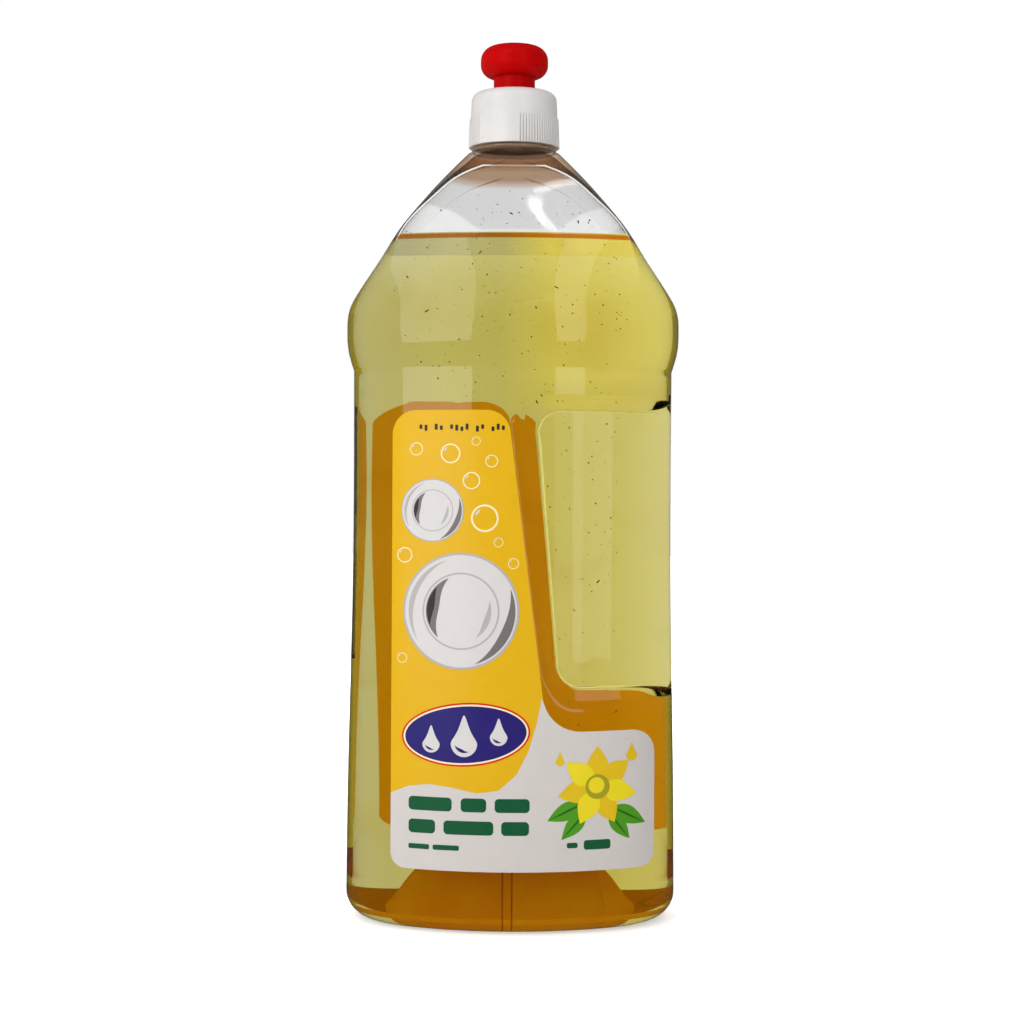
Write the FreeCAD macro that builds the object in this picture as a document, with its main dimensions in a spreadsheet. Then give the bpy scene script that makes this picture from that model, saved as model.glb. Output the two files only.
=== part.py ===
"""Dish soap bottle: a blown oval bottle with a grip recess, its soap, two labels, a screw cap with a
sealing washer and a push-pull spout. Millimetres, +Z up, the front looks along -Y.
The origin is the middle of the foot, on the surface that the bottle stands on."""

import FreeCAD
import Part
import Sketcher
import math
import os

# Driving dimensions, in millimetres unless the name says otherwise.
# An oval is given by its rise above the one below, half width along X, half depth along Y and, on
# the shoulder, by the corner where its front meets its side, which draws the arch below the neck.
DRIVING = {
    "foot_half_width": 57.4,
    "foot_half_depth": 39.2,
    "low_rise": 54,
    "low_half_width": 56.9,
    "low_half_depth": 38.8,
    "waist_rise": 56,
    "waist_half_width": 55.7,
    "waist_half_depth": 38,
    "crease_rise": 79.6,
    "crease_half_width": 55.5,
    "crease_half_depth": 37.8,
    "bulge_rise": 7.2,
    "bulge_half_width": 57.5,
    "bulge_half_depth": 39.6,
    "belly_rise": 7.2,
    "belly_half_width": 57.9,
    "belly_half_depth": 40,
    "brow_rise": 7,
    "brow_half_width": 57.1,
    "brow_half_depth": 39,
    "front_radius": 86,
    "heel_radius": 9,
    "chest_rise": 6,
    "chest_half_width": 54,
    "chest_half_depth": 36,
    "chest_corner_x": 42,
    "chest_corner_y": 25.5,
    "shoulder_rise": 10.5,
    "shoulder_half_width": 47,
    "shoulder_half_depth": 29.8,
    "shoulder_corner_x": 41.6,
    "shoulder_corner_y": 21,
    "level_rise": 11.2,
    "level_half_width": 39.6,
    "level_half_depth": 25.2,
    "level_corner_x": 36.6,
    "level_corner_y": 20.4,
    "arch_rise": 11.3,
    "arch_half_width": 30.5,
    "arch_half_depth": 22.4,
    "arch_corner_x": 25,
    "arch_corner_y": 21.8,
    "apex_rise": 8,
    "apex_half_width": 23.4,
    "apex_half_depth": 20.6,
    "apex_corner_x": 12.5,
    "apex_corner_y": 20.3,
    "crown_rise": 3.3,
    "crown_half_width": 20.2,
    "crown_half_depth": 19.9,
    "crown_corner_x": 2.4,
    "crown_corner_y": 19.75,
    "neck_root_rise": 4.8,
    "neck_root_radius": 15.3,
    "neck_root_corner_x": 2,
    # Wall and base
    "wall": 0.6,
    "shoulder_wall": 0.9,
    "base_wall": 0.9,
    "push_up_rim": 14,
    "push_up_undercut": 1.5,
    "push_up_middle_height": 8,
    "push_up_middle_inset": 6,
    "push_up_height": 15,
    "push_up_top_inset": 16,
    # Neck
    "neck_radius": 12.6,
    "neck_wall": 1.8,
    "neck_height": 17.9,
    "ledge_width": 2.1,
    "ledge_thickness": 1.4,
    # Grip recess on the right, front and back
    "grip_bottom": 82,
    "grip_below_crease": 14.6,
    "grip_edge_top_x": 8.6,
    "grip_edge_bottom_x": 15.5,
    "grip_depth": 6.5,
    "grip_side_relief": 0.5,
    "grip_corner_radius": 8,
    "grip_wall_top": 5,
    "grip_wall_foot": 7,
    "grip_wall_left_top": 10.6,
    "grip_wall_left_foot": 4.8,
    "grip_wall_reach": 2.2,
    "grip_mouth_radius": 20,
    # Labels: the outline's corners, seen from the front
    "label_glue": 0.04,
    "label_stock": 0.12,
    "label_left": 40.2,
    "label_below_crease": 14.6,
    "label_bottom": 21.5,
    "label_top_right": -1.5,
    "label_notch_x": 12,
    "label_notch_height": 68,
    "label_notch_radius": 13,
    "label_right": 48.7,
    "label_corner_radius": 8,
    "label_foot_radius": 5,
    "back_label_rise": 5,
    "back_label_left": 35,
    # Soap
    "soap_over_shoulder": 8.9,
    # Closure
    "seal_overhang": 0.5,
    "seal_lip": 1.2,
    "seal_thickness": 0.8,
    "cap_rim_gap": 0.25,
    "cap_thread_room": 1.35,
    "cap_deck": 2.2,
    "cap_top_wall": 0.75,
    "cap_side_wall": 1.2,
    "cap_edge_radius": 3.2,
    "cap_skirt_height": 9.75,
    "cap_skirt_top_wall": 1.6,
    "cap_skirt_rim_wall": 1.95,
    "cap_rib_pitch_deg": 3.8,
    "cap_ribs_in_group": 33,
    "cap_rib_groove": 0.35,
    "cap_rib_first_deg": -82,
    "tower_radius": 5.3,
    "tower_wall": 1.4,
    "tower_height": 10.5,
    "web_thickness": 1,
    "web_lift": 3,
    "pin_radius": 1.75,
    "pin_below_knob": 1,
    # Pull knob
    "knob_clearance": 0.25,
    "knob_foot_gap": 0.2,
    "knob_stem_wall": 1.65,
    "knob_overhang": 4.55,
    "knob_disc_height": 10.5,
    "knob_low_flat": 0.15,
    "knob_rim_flat": 1.1,
    "knob_headroom": 1.1,
    "knob_roof": 5,
    "knob_pin_gap": 0.25,
    "knob_dish": 0.9,
}

doc = FreeCAD.newDocument("dish_soap_bottle")
sheet = doc.addObject("Spreadsheet::Sheet", "Sizes")
for row, (alias, size) in enumerate(DRIVING.items(), start=1):
    sheet.set("A%d" % row, str(size))
    sheet.setAlias("A%d" % row, alias)
doc.recompute()

AXIS_X, AXIS_Y = -1, -2
START, END = 1, 2
ORIGIN = (-1, 1)
# How far the cutting shapes reach past the bottle
REACH = 150
TINY = 1e-6
CLOSE = 0.01
UP = FreeCAD.Vector(0, 0, 1)
CROSSWISE = FreeCAD.Rotation(FreeCAD.Vector(1, 0, 0), 90)
LEVELS = ("low", "waist", "crease", "bulge", "belly", "brow",
          "chest", "shoulder", "level", "arch", "apex", "crown", "neck_root")


def total(*terms):
    """One formula that adds others up."""
    return "(%s)" % " + ".join(terms)


def height_of(level):
    """The formula of a section's height: the rises of all sections up to it."""
    return total(*("Sizes.%s_rise" % step for step in LEVELS[:LEVELS.index(level) + 1]))


def value(expression):
    """What a formula gives with the sizes as they are."""
    return float(sheet.evalExpression(expression))


def bind(thing, **formulas):
    """Tie properties of an object to the sheet; two underscores in a name stand for a dot."""
    for name, formula in formulas.items():
        thing.setExpression(name.replace("__", "."), formula)
    return thing


def add(kind, name, **settings):
    """A new object of the document with plain settings."""
    thing = doc.addObject(kind, name)
    for key, setting in settings.items():
        setattr(thing, key, setting)
    return thing


def pin_point(sketch, line, end, x, y):
    """Hold one end of a line at a place given by two formulas."""
    for kind, axis, formula in (("DistanceX", AXIS_Y, x), ("DistanceY", AXIS_X, y)):
        here = value(formula)
        if abs(here) < TINY:
            sketch.addConstraint(Sketcher.Constraint("PointOnObject", line, end, axis))
            continue
        ends = (*ORIGIN, line, end) if here > 0 else (line, end, *ORIGIN)
        index = sketch.addConstraint(Sketcher.Constraint(kind, *ends, abs(here)))
        sketch.setExpression("Constraints[%d]" % index, formula if here > 0 else "-(%s)" % formula)


def polygon(sketch, corners):
    """Straight lines through corners, each a pair of formulas."""
    points = [FreeCAD.Vector(value(x), value(y), 0) for x, y in corners]
    spans = zip(points, points[1:] + points[:1])
    lines = [sketch.addGeometry(Part.LineSegment(a, b)) for a, b in spans]
    for line, after in zip(lines, lines[1:] + lines[:1]):
        sketch.addConstraint(Sketcher.Constraint("Coincident", line, END, after, START))
    for line, (x, y) in zip(lines, corners):
        pin_point(sketch, line, START, x, y)
    return sketch


def rounded_outline(sketch, corners):
    """Straight lines with a round at each corner; a corner is three formulas, the last its radius."""
    points = [FreeCAD.Vector(value(x), value(y), 0) for x, y, _ in corners]
    stops, rounds = [], []
    for i, (point, (_, _, formula)) in enumerate(zip(points, corners)):
        back = (points[i - 1] - point).normalize()
        ahead = (points[(i + 1) % len(points)] - point).normalize()
        half_turn = math.acos(back.dot(ahead)) / 2
        radius = value(formula)
        centre = point + (back + ahead).normalize() * (radius / math.sin(half_turn))
        ends = [point + way * (radius / math.tan(half_turn)) for way in (back, ahead)]
        first, last = (math.atan2(end.y - centre.y, end.x - centre.x) for end in ends)
        outward = back.cross(ahead).z < 0
        if not outward:
            first, last = last, first
        if last < first:
            last += 2 * math.pi
        stops.append(ends)
        rounds.append((Part.ArcOfCircle(Part.Circle(centre, UP, radius), first, last), outward))
    spans = zip(stops, stops[1:] + stops[:1])
    lines = [sketch.addGeometry(Part.LineSegment(a[1], b[0])) for a, b in spans]
    for i, ((x, y, radius), (curve, outward)) in enumerate(zip(corners, rounds)):
        before, after, arc = lines[i - 1], lines[i], sketch.addGeometry(curve)
        first, last = (START, END) if outward else (END, START)
        sketch.addConstraint(Sketcher.Constraint("Tangent", before, END, arc, first))
        sketch.addConstraint(Sketcher.Constraint("Tangent", arc, last, after, START))
        index = sketch.addConstraint(Sketcher.Constraint("Radius", arc, value(radius)))
        sketch.setExpression("Constraints[%d]" % index, radius)
        corner = sketch.addGeometry(Part.Point(points[i]), True)
        sketch.addConstraint(Sketcher.Constraint("PointOnObject", corner, START, before))
        sketch.addConstraint(Sketcher.Constraint("PointOnObject", corner, START, after))
        pin_point(sketch, corner, START, x, y)
    return sketch


def circle(sketch, radius):
    """A circle about the sketch's origin."""
    ring = sketch.addGeometry(Part.Circle(FreeCAD.Vector(), UP, value(radius)))
    sketch.addConstraint(Sketcher.Constraint("Coincident", ring, 3, *ORIGIN))
    index = sketch.addConstraint(Sketcher.Constraint("Radius", ring, value(radius)))
    sketch.setExpression("Constraints[%d]" % index, radius)
    return sketch


# Heights and radii that several pieces share
CREASE = height_of("crease")
NECK_ROOT = height_of("neck_root")
NECK_TOP = total(NECK_ROOT, "Sizes.neck_height")
NECK_BORE = "(Sizes.neck_radius - Sizes.neck_wall)"
LEDGE_TOP = total(NECK_ROOT, "Sizes.ledge_thickness")
CAP_BORE = "(Sizes.neck_radius + Sizes.cap_thread_room)"
CAP_RIM = total(LEDGE_TOP, "Sizes.cap_rim_gap")
CAP_SKIRT_TOP = total(CAP_RIM, "Sizes.cap_skirt_height")
CAP_UNDERSIDE = total(NECK_TOP, "Sizes.seal_thickness")
CAP_TOP = total(CAP_UNDERSIDE, "Sizes.cap_deck")
CAP_TOP_RADIUS = total(CAP_BORE, "Sizes.cap_top_wall")
SKIRT_RADIUS = total(CAP_BORE, "Sizes.cap_skirt_top_wall")
RIM_RADIUS = total(CAP_BORE, "Sizes.cap_skirt_rim_wall")
TOWER_BORE = "(Sizes.tower_radius - Sizes.tower_wall)"
TOWER_TOP = total(CAP_TOP, "Sizes.tower_height")
WEB_BOTTOM = total(CAP_TOP, "Sizes.web_lift")
KNOB_FOOT = total(CAP_TOP, "Sizes.knob_foot_gap")
KNOB_BORE = "(Sizes.tower_radius + Sizes.knob_clearance)"
KNOB_STEM = total(KNOB_BORE, "Sizes.knob_stem_wall")
KNOB_RADIUS = total(KNOB_STEM, "Sizes.knob_overhang")
KNOB_CEILING = total(TOWER_TOP, "Sizes.knob_headroom")
KNOB_TOP = total(KNOB_CEILING, "Sizes.knob_roof")
KNOB_EDGE = f"({KNOB_TOP} - Sizes.knob_dish)"
KNOB_DISC_FOOT = f"({KNOB_EDGE} - Sizes.knob_disc_height)"
KNOB_ORIFICE = "(Sizes.pin_radius + Sizes.knob_pin_gap)"
KNOB_LOW_ROUND = "(Sizes.knob_overhang - Sizes.knob_low_flat)"
KNOB_TOP_ROUND = f"(Sizes.knob_disc_height - {KNOB_LOW_ROUND} - Sizes.knob_rim_flat)"


def arc_radius(half_chord, rise):
    """The formula of an arc's radius from half its chord and its rise."""
    return f"((({half_chord})^2 + ({rise})^2) / (2 * ({rise})))"


def oval(name, height, half_width, half_depth, corner_x, corner_y):
    """One level section of the bottle: a front, a back and two side arcs that meet at four corners."""
    sketch = doc.addObject("Sketcher::SketchObject", name)
    bind(sketch, Placement__Base__z=height)
    wide, deep, x, y = (value(formula) for formula in (half_width, half_depth, corner_x, corner_y))
    stops = [(-x, -y), (0, -deep), (x, -y), (wide, 0), (x, y), (0, deep), (-x, y), (-wide, 0), (-x, -y)]
    points = [FreeCAD.Vector(*stop, 0) for stop in stops]
    front, right, back, left = (sketch.addGeometry(Part.Arc(*points[i:i + 3])) for i in (0, 2, 4, 6))
    for arc, after in ((front, right), (right, back), (back, left), (left, front)):
        sketch.addConstraint(Sketcher.Constraint("Coincident", arc, END, after, START))
    pin_point(sketch, front, END, corner_x, f"-({corner_y})")
    sketch.addConstraint(Sketcher.Constraint("Symmetric", front, START, front, END, AXIS_Y))
    sketch.addConstraint(Sketcher.Constraint("Symmetric", right, START, right, END, AXIS_X))
    sketch.addConstraint(Sketcher.Constraint("Symmetric", left, START, left, END, AXIS_X))
    front_radius = arc_radius(corner_x, f"{half_depth} - ({corner_y})")
    side_radius = arc_radius(corner_y, f"{half_width} - ({corner_x})")
    for arc, radius in ((front, front_radius), (right, side_radius)):
        index = sketch.addConstraint(Sketcher.Constraint("Radius", arc, value(radius)))
        sketch.setExpression("Constraints[%d]" % index, radius)
    sketch.addConstraint(Sketcher.Constraint("Equal", front, back))
    sketch.addConstraint(Sketcher.Constraint("Equal", right, left))
    return sketch


def body_oval(name, level, inset, height=None, slimmer="0", wider="0"):
    """A section of the body, whose front and side arcs run smoothly into each other."""
    half_width = f"(Sizes.{level}_half_width - ({inset}) + ({wider}))"
    half_depth = f"(Sizes.{level}_half_depth - ({inset}) - ({slimmer}))"
    big = f"(Sizes.front_radius - ({inset}))"
    small = f"(({big}^2 - {half_width}^2 - ({big} - {half_depth})^2) / (2 * ({big} - {half_width})))"
    corner_x = f"({big} * ({half_width} - {small}) / ({big} - {small}))"
    corner_y = f"(({big} - {half_depth}) * {small} / ({big} - {small}))"
    return oval(name, height or height_of(level), half_width, half_depth, corner_x, corner_y)


def shoulder_oval(name, level, inset):
    """A section of the shoulder, whose front meets its side at the arch."""
    width, depth = f"Sizes.{level}_half_width", f"Sizes.{level}_half_depth"
    corner_x = f"(Sizes.{level}_corner_x * ({width} - ({inset})) / {width})"
    corner_y = f"(Sizes.{level}_corner_y * ({depth} - ({inset})) / {depth})"
    return oval(name, height_of(level), f"({width} - ({inset}))", f"({depth} - ({inset}))",
                corner_x, corner_y)


def neck_oval(name, radius):
    """The round section where the shoulder ends."""
    corner_x = f"(Sizes.neck_root_corner_x * {radius} / Sizes.neck_root_radius)"
    corner_y = f"sqrt({radius}^2 - {corner_x}^2)"
    return oval(name, NECK_ROOT, radius, radius, corner_x, corner_y)


def loft(name, sections):
    """A smooth solid through level sections."""
    return add("Part::Loft", name, Sections=sections, Solid=True, Ruled=False)


def round_edges(name, base, radius, chosen):
    """A fillet on the edges that a test chooses."""
    doc.recompute()
    edges = [i for i, edge in enumerate(base.Shape.Edges, start=1) if chosen(edge)]
    thing = doc.addObject("Part::Fillet", name)
    thing.Base = base
    thing.Edges = [(i, radius, radius) for i in edges]
    return thing


def lower_sections(name, inset, foot="0"):
    """The sections of the body from its foot to the crease."""
    return [body_oval(name + "_foot", "foot", inset, height=foot),
            *(body_oval(f"{name}_{level}", level, inset) for level in LEVELS[:3])]


def lower_body(name, inset, foot="0", heel="Sizes.heel_radius"):
    """The tall part below the crease, with its rounded heel."""
    whole = loft(name + "_loft", lower_sections(name, inset, foot))
    ground = value(foot)
    return round_edges(name, whole, value(heel), lambda edge: edge.BoundBox.ZMax < ground + TINY)


def upper_body(name, inset, shoulder_inset, neck_radius):
    """Above the crease: the bulge, belly and arched shoulder, and the cone up to the round neck."""
    sections = [body_oval(f"{name}_{level}", level, inset) for level in LEVELS[2:6]]
    sections += [shoulder_oval(f"{name}_{level}", level, shoulder_inset) for level in LEVELS[6:12]]
    return [loft(name + "_shoulder", sections),
            loft(name + "_cone", [sections[-1], neck_oval(name + "_neck_root", neck_radius)])]


def upright(name, radius, bottom, top):
    """A cylinder about the bottle's axis."""
    thing = doc.addObject("Part::Cylinder", name)
    return bind(thing, Radius=radius, Height=f"{top} - ({bottom})", Placement__Base__z=bottom)


def ellipse_oval(name, inset, height):
    """A level section of the push-up under the foot."""
    width = f"(Sizes.foot_half_width - ({inset}))"
    depth = f"(Sizes.foot_half_depth - ({inset}))"
    return oval(name, height, width, depth, f"({width} * sqrt(0.5))", f"({depth} * sqrt(0.5))")


def push_up(name, lift, spread):
    """The hollow under the foot: it starts just below the foot so that it cuts cleanly."""
    rim = f"Sizes.push_up_rim - ({spread})"
    middle = f"Sizes.push_up_rim + Sizes.push_up_middle_inset - ({spread})"
    top = f"Sizes.push_up_rim + Sizes.push_up_top_inset - ({spread})"
    mouth = f"{rim} - Sizes.push_up_undercut"
    sections = [ellipse_oval(name + "_mouth", mouth, "-Sizes.push_up_middle_height"),
                ellipse_oval(name + "_rim", rim, lift),
                ellipse_oval(name + "_middle", middle, f"Sizes.push_up_middle_height + ({lift})"),
                ellipse_oval(name + "_top", top, f"Sizes.push_up_height + ({lift})")]
    return add("Part::Loft", name, Sections=sections, Solid=True, Ruled=True)


def grip_outline(name, grow, distance, share, radius):
    """The grip seen from the front, at a distance from the middle plane, wider by a share of its walls."""
    sketch = doc.addObject("Sketcher::SketchObject", name)
    sketch.Placement.Rotation = CROSSWISE
    bind(sketch, Placement__Base__y=f"-{distance}")
    low = f"Sizes.grip_bottom - ({grow}) - Sizes.grip_wall_foot * {share}"
    high = f"{CREASE} - Sizes.grip_below_crease + ({grow}) + Sizes.grip_wall_top * {share}"
    low_edge = f"Sizes.grip_edge_bottom_x - ({grow}) - Sizes.grip_wall_left_foot * {share}"
    high_edge = f"Sizes.grip_edge_top_x - ({grow}) - Sizes.grip_wall_left_top * {share}"
    rounding = total(radius, grow)
    return rounded_outline(sketch, [(low_edge, low, rounding), (str(REACH), low, rounding),
                                    (str(REACH), high, rounding), (high_edge, high, rounding)])


def grip_region(name, grow):
    """The grip's floor outline carried inwards, and its slanted walls outside the floor."""
    floor = "(Sizes.waist_half_depth - Sizes.grip_depth)"
    mouth = f"({floor} + Sizes.grip_depth * Sizes.grip_wall_reach)"
    inner = grip_outline(name + "_outline", grow, floor, "0", "Sizes.grip_corner_radius")
    outer = grip_outline(name + "_mouth", grow, mouth, "Sizes.grip_wall_reach", "Sizes.grip_mouth_radius")
    slanted = add("Part::Loft", name + "_slanted", Sections=[inner, outer], Solid=True, Ruled=True)
    straight = add("Part::Extrusion", name + "_straight", Base=inner, DirMode="Normal", Solid=True)
    straight.Reversed = True
    bind(straight, LengthFwd=floor)
    return add("Part::Fuse", name + "_prism", Base=slanted, Tool=straight)


def grip_cutter(name, grow):
    """What the grip takes away at the front and the back."""
    region = grip_region(name, grow)
    core = loft(name + "_core", [body_oval(f"{name}_{level}", level, grow, slimmer="Sizes.grip_depth",
                                           wider="Sizes.grip_side_relief") for level in LEVELS[:3]])
    front = add("Part::Cut", name + "_front", Base=region, Tool=core)
    back = add("Part::Mirroring", name + "_back", Source=front, Normal=FreeCAD.Vector(0, 1, 0))
    return [front, back]


# Bottle: the outside, the cavity, and what is left between them
outside = [lower_body("outer_lower", "0"),
           *upper_body("outer_upper", "0", "0", "Sizes.neck_root_radius"),
           upright("neck_tube", "Sizes.neck_radius", NECK_ROOT, NECK_TOP),
           upright("neck_ledge", "Sizes.neck_radius + Sizes.ledge_width", NECK_ROOT, LEDGE_TOP)]
cavity = [lower_body("inner_lower", "Sizes.wall", foot="Sizes.base_wall",
                     heel="Sizes.heel_radius - Sizes.wall"),
          *upper_body("inner_upper", "Sizes.wall", "Sizes.shoulder_wall", NECK_BORE),
          upright("neck_bore_space", NECK_BORE, NECK_ROOT, NECK_TOP)]
outer = add("Part::MultiFuse", "outer_form", Shapes=outside)
inner = add("Part::MultiFuse", "inner_form", Shapes=cavity)
outer_cuts = add("Part::MultiFuse", "outer_cuts",
                 Shapes=grip_cutter("grip", "0") + [push_up("push_up", "0", "0")])
inner_cuts = add("Part::MultiFuse", "inner_cuts",
                 Shapes=grip_cutter("grip_inner", "Sizes.wall")
                 + [push_up("push_up_inner", "Sizes.base_wall", "-Sizes.wall")])
outer_cut = add("Part::Cut", "outer_cut", Base=outer, Tool=outer_cuts)
inner_cut = add("Part::Cut", "inner_cut", Base=inner, Tool=inner_cuts)
bottle = add("Part::Cut", "bottle", Base=outer_cut, Tool=inner_cut)

# Soap: what the cavity holds below the fill level
headspace = add("Part::Box", "headspace", Length=2 * REACH, Width=2 * REACH, Height=REACH)
bind(headspace, Placement__Base__z=total(height_of("shoulder"), "Sizes.soap_over_shoulder"))
headspace.Placement.Base.x = -REACH
headspace.Placement.Base.y = -REACH
soap = add("Part::Cut", "soap", Base=inner_cut, Tool=headspace)


def label(name, rise, left, front):
    """A thin printed label on the body: its outline keeps clear of the grip."""
    sketch = doc.addObject("Sketcher::SketchObject", name + "_outline")
    sketch.Placement.Rotation = CROSSWISE
    top = f"{CREASE} - Sizes.label_below_crease + ({rise})"
    foot = f"Sizes.label_bottom + ({rise})"
    notch = f"Sizes.label_notch_height + ({rise})"
    corner, small = "Sizes.label_corner_radius", "Sizes.label_foot_radius"
    rounded_outline(sketch, [(f"-{left}", foot, small), ("Sizes.label_right", foot, small),
                             ("Sizes.label_right", notch, corner),
                             ("Sizes.label_notch_x", notch, "Sizes.label_notch_radius"),
                             ("Sizes.label_top_right", top, corner), (f"-{left}", top, corner)])
    prism = add("Part::Extrusion", name + "_prism", Base=sketch, DirMode="Normal", Solid=True)
    prism.LengthFwd = REACH
    prism.Reversed = not front
    sheath = loft(name + "_sheath", lower_sections(name, "-(Sizes.label_glue + Sizes.label_stock)"))
    core = loft(name + "_core", lower_sections(name + "_under", "-Sizes.label_glue"))
    piece = add("Part::Common", name + "_area", Base=prism, Tool=sheath)
    return add("Part::Cut", name, Base=piece, Tool=core)


# The two labels
label("front_label", "0", "Sizes.label_left", True)
label("back_label", "Sizes.back_label_rise", "Sizes.back_label_left", False)


def origin_plane(body, role):
    """One of a body's own origin planes."""
    return next(feature for feature in body.Origin.OriginFeatures if feature.Role == role)


def body_sketch(body, name, role="XY_Plane", offset=None):
    """A sketch on one of the body's origin planes, moved along its normal by a formula."""
    sketch = body.newObject("Sketcher::SketchObject", name)
    sketch.AttachmentSupport = [(origin_plane(body, role), "")]
    sketch.MapMode = "FlatFace"
    if offset:
        sketch.setExpression("AttachmentOffset.Base.z", offset)
    return sketch


def turned(body, name, corners):
    """A profile revolved about the bottle's axis."""
    sketch = polygon(body_sketch(body, name + "_profile", "XZ_Plane"), corners)
    turn = body.newObject("PartDesign::Revolution", name)
    turn.Profile = sketch
    turn.ReferenceAxis = (sketch, ["V_Axis"])
    turn.Angle = 360
    doc.recompute()
    return turn


def soften(body, name, base, radius, chosen):
    """A fillet on the edges of a body's feature that a test chooses."""
    doc.recompute()
    edges = ["Edge%d" % i for i, edge in enumerate(base.Shape.Edges, start=1) if chosen(edge)]
    fillet = body.newObject("PartDesign::Fillet", name)
    fillet.Base = (base, edges)
    fillet.setExpression("Radius", radius)
    doc.recompute()
    return fillet


def circle_at(radius, height):
    """A test for a round edge of a given radius at a given height."""
    r, z = value(radius), value(height)

    def chosen(edge):
        box = edge.BoundBox
        return max(abs(box.ZMin - z), abs(box.ZMax - z), abs(box.XMax - r)) < CLOSE
    return chosen


def pad(body, name, sketch, length):
    """A sketch raised along +Z."""
    raised = body.newObject("PartDesign::Pad", name)
    raised.Profile = sketch
    raised.setExpression("Length", length)
    doc.recompute()
    return raised


# Sealing washer on the neck
cap_seal = doc.addObject("PartDesign::Body", "cap_seal")
ring = body_sketch(cap_seal, "seal_ring", offset=NECK_TOP)
circle(ring, "Sizes.neck_radius + Sizes.seal_overhang")
circle(ring, f"{NECK_BORE} - Sizes.seal_lip")
pad(cap_seal, "seal_pad", ring, "Sizes.seal_thickness")

# Screw cap: skirt, deck and the tower that carries the pull knob
cap = doc.addObject("PartDesign::Body", "cap")
cap_form = turned(cap, "cap_form", [
    (CAP_BORE, CAP_RIM),
    (RIM_RADIUS, CAP_RIM),
    (SKIRT_RADIUS, CAP_SKIRT_TOP),
    (total(CAP_BORE, "Sizes.cap_side_wall"), CAP_SKIRT_TOP),
    (CAP_TOP_RADIUS, CAP_TOP),
    ("Sizes.tower_radius", CAP_TOP),
    ("Sizes.tower_radius", TOWER_TOP),
    (TOWER_BORE, TOWER_TOP),
    (TOWER_BORE, CAP_UNDERSIDE),
    (CAP_BORE, CAP_UNDERSIDE)])
soften(cap, "cap_deck_edge", cap_form, "Sizes.cap_edge_radius", circle_at(CAP_TOP_RADIUS, CAP_TOP))
for side in (0, 1):
    web = body_sketch(cap, "web_%d" % side, offset=WEB_BOTTOM)
    long, short = "(Sizes.tower_radius - Sizes.tower_wall / 2)", "(Sizes.web_thickness / 2)"
    x, y = (long, short) if side == 0 else (short, long)
    polygon(web, [(f"-({x})", f"-({y})"), (x, f"-({y})"), (x, y), (f"-({x})", y)])
    pad(cap, "web_pad_%d" % side, web, f"{TOWER_TOP} - {WEB_BOTTOM}")
pin = circle(body_sketch(cap, "pin_circle", offset=WEB_BOTTOM), "Sizes.pin_radius")
pad(cap, "pin", pin, f"{KNOB_TOP} - Sizes.pin_below_knob - {WEB_BOTTOM}")
for side in (0, 1):
    groove = body_sketch(cap, "rib_groove_%d" % side, "XY_Plane", CAP_RIM)
    deep = f"({SKIRT_RADIUS} - Sizes.cap_rib_groove)"
    out = total(RIM_RADIUS, "Sizes.cap_rib_groove")
    half_mouth = f"({out} * tan(Sizes.cap_rib_pitch_deg * 0.5))"
    polygon(groove, [(deep, "0"), (out, f"-{half_mouth}"), (out, half_mouth)])
    groove.setExpression("AttachmentOffset.Rotation.Angle",
                         f"Sizes.cap_rib_first_deg + {180 * side}")
    cut = cap.newObject("PartDesign::Pocket", "rib_cut_%d" % side)
    cut.Profile = groove
    cut.Reversed = True
    cut.setExpression("Length", "Sizes.cap_skirt_height")
    doc.recompute()
    row = cap.newObject("PartDesign::PolarPattern", "rib_row_%d" % side)
    row.Originals = [cut]
    row.Axis = (groove, ["N_Axis"])
    row.setExpression("Angle", "Sizes.cap_rib_pitch_deg * (Sizes.cap_ribs_in_group - 1)")
    row.setExpression("Occurrences", "Sizes.cap_ribs_in_group")
    cap.Tip = row
    doc.recompute()

# Pull knob
pull_knob = doc.addObject("PartDesign::Body", "pull_knob")
knob_form = turned(pull_knob, "knob_form", [
    (KNOB_BORE, KNOB_FOOT),
    (KNOB_STEM, KNOB_FOOT),
    (KNOB_STEM, KNOB_DISC_FOOT),
    (KNOB_RADIUS, KNOB_DISC_FOOT),
    (KNOB_RADIUS, KNOB_EDGE),
    (KNOB_ORIFICE, KNOB_TOP),
    (KNOB_ORIFICE, KNOB_CEILING),
    (KNOB_BORE, KNOB_CEILING)])
knob_low = soften(pull_knob, "knob_low_rim", knob_form, KNOB_LOW_ROUND,
                  circle_at(KNOB_RADIUS, KNOB_DISC_FOOT))
soften(pull_knob, "knob_high_rim", knob_low, KNOB_TOP_ROUND, circle_at(KNOB_RADIUS, KNOB_EDGE))

NODES = ("bottle", "soap", "front_label", "back_label", "cap_seal", "cap", "pull_knob")
doc.recompute()
for thing in doc.Objects:
    if "Invalid" in thing.State or "Error" in thing.State:
        raise RuntimeError("%s is %s" % (thing.Name, thing.State))
for name in NODES:
    shape = doc.getObject(name).Shape
    if shape.isNull() or not shape.isValid() or len(shape.Solids) != 1:
        raise RuntimeError("%s has no single valid solid" % name)
    print(name, round(shape.Volume, 1), shape.optimalBoundingBox())

os.makedirs("parts", exist_ok=True)
for name in NODES:
    doc.getObject(name).Label = name
    doc.getObject(name).Shape.exportStep("parts/%s.step" % name)
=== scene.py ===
"""Looks of the dish soap bottle: clear blown shell, soap, printed labels, screw cap and pull knob."""

import bisect
import bmesh
import bpy
import random
from math import acos, atan2, copysign, cos, hypot, pi, radians, sin, sqrt, tan, tau
from mathutils import Matrix, Vector

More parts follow.
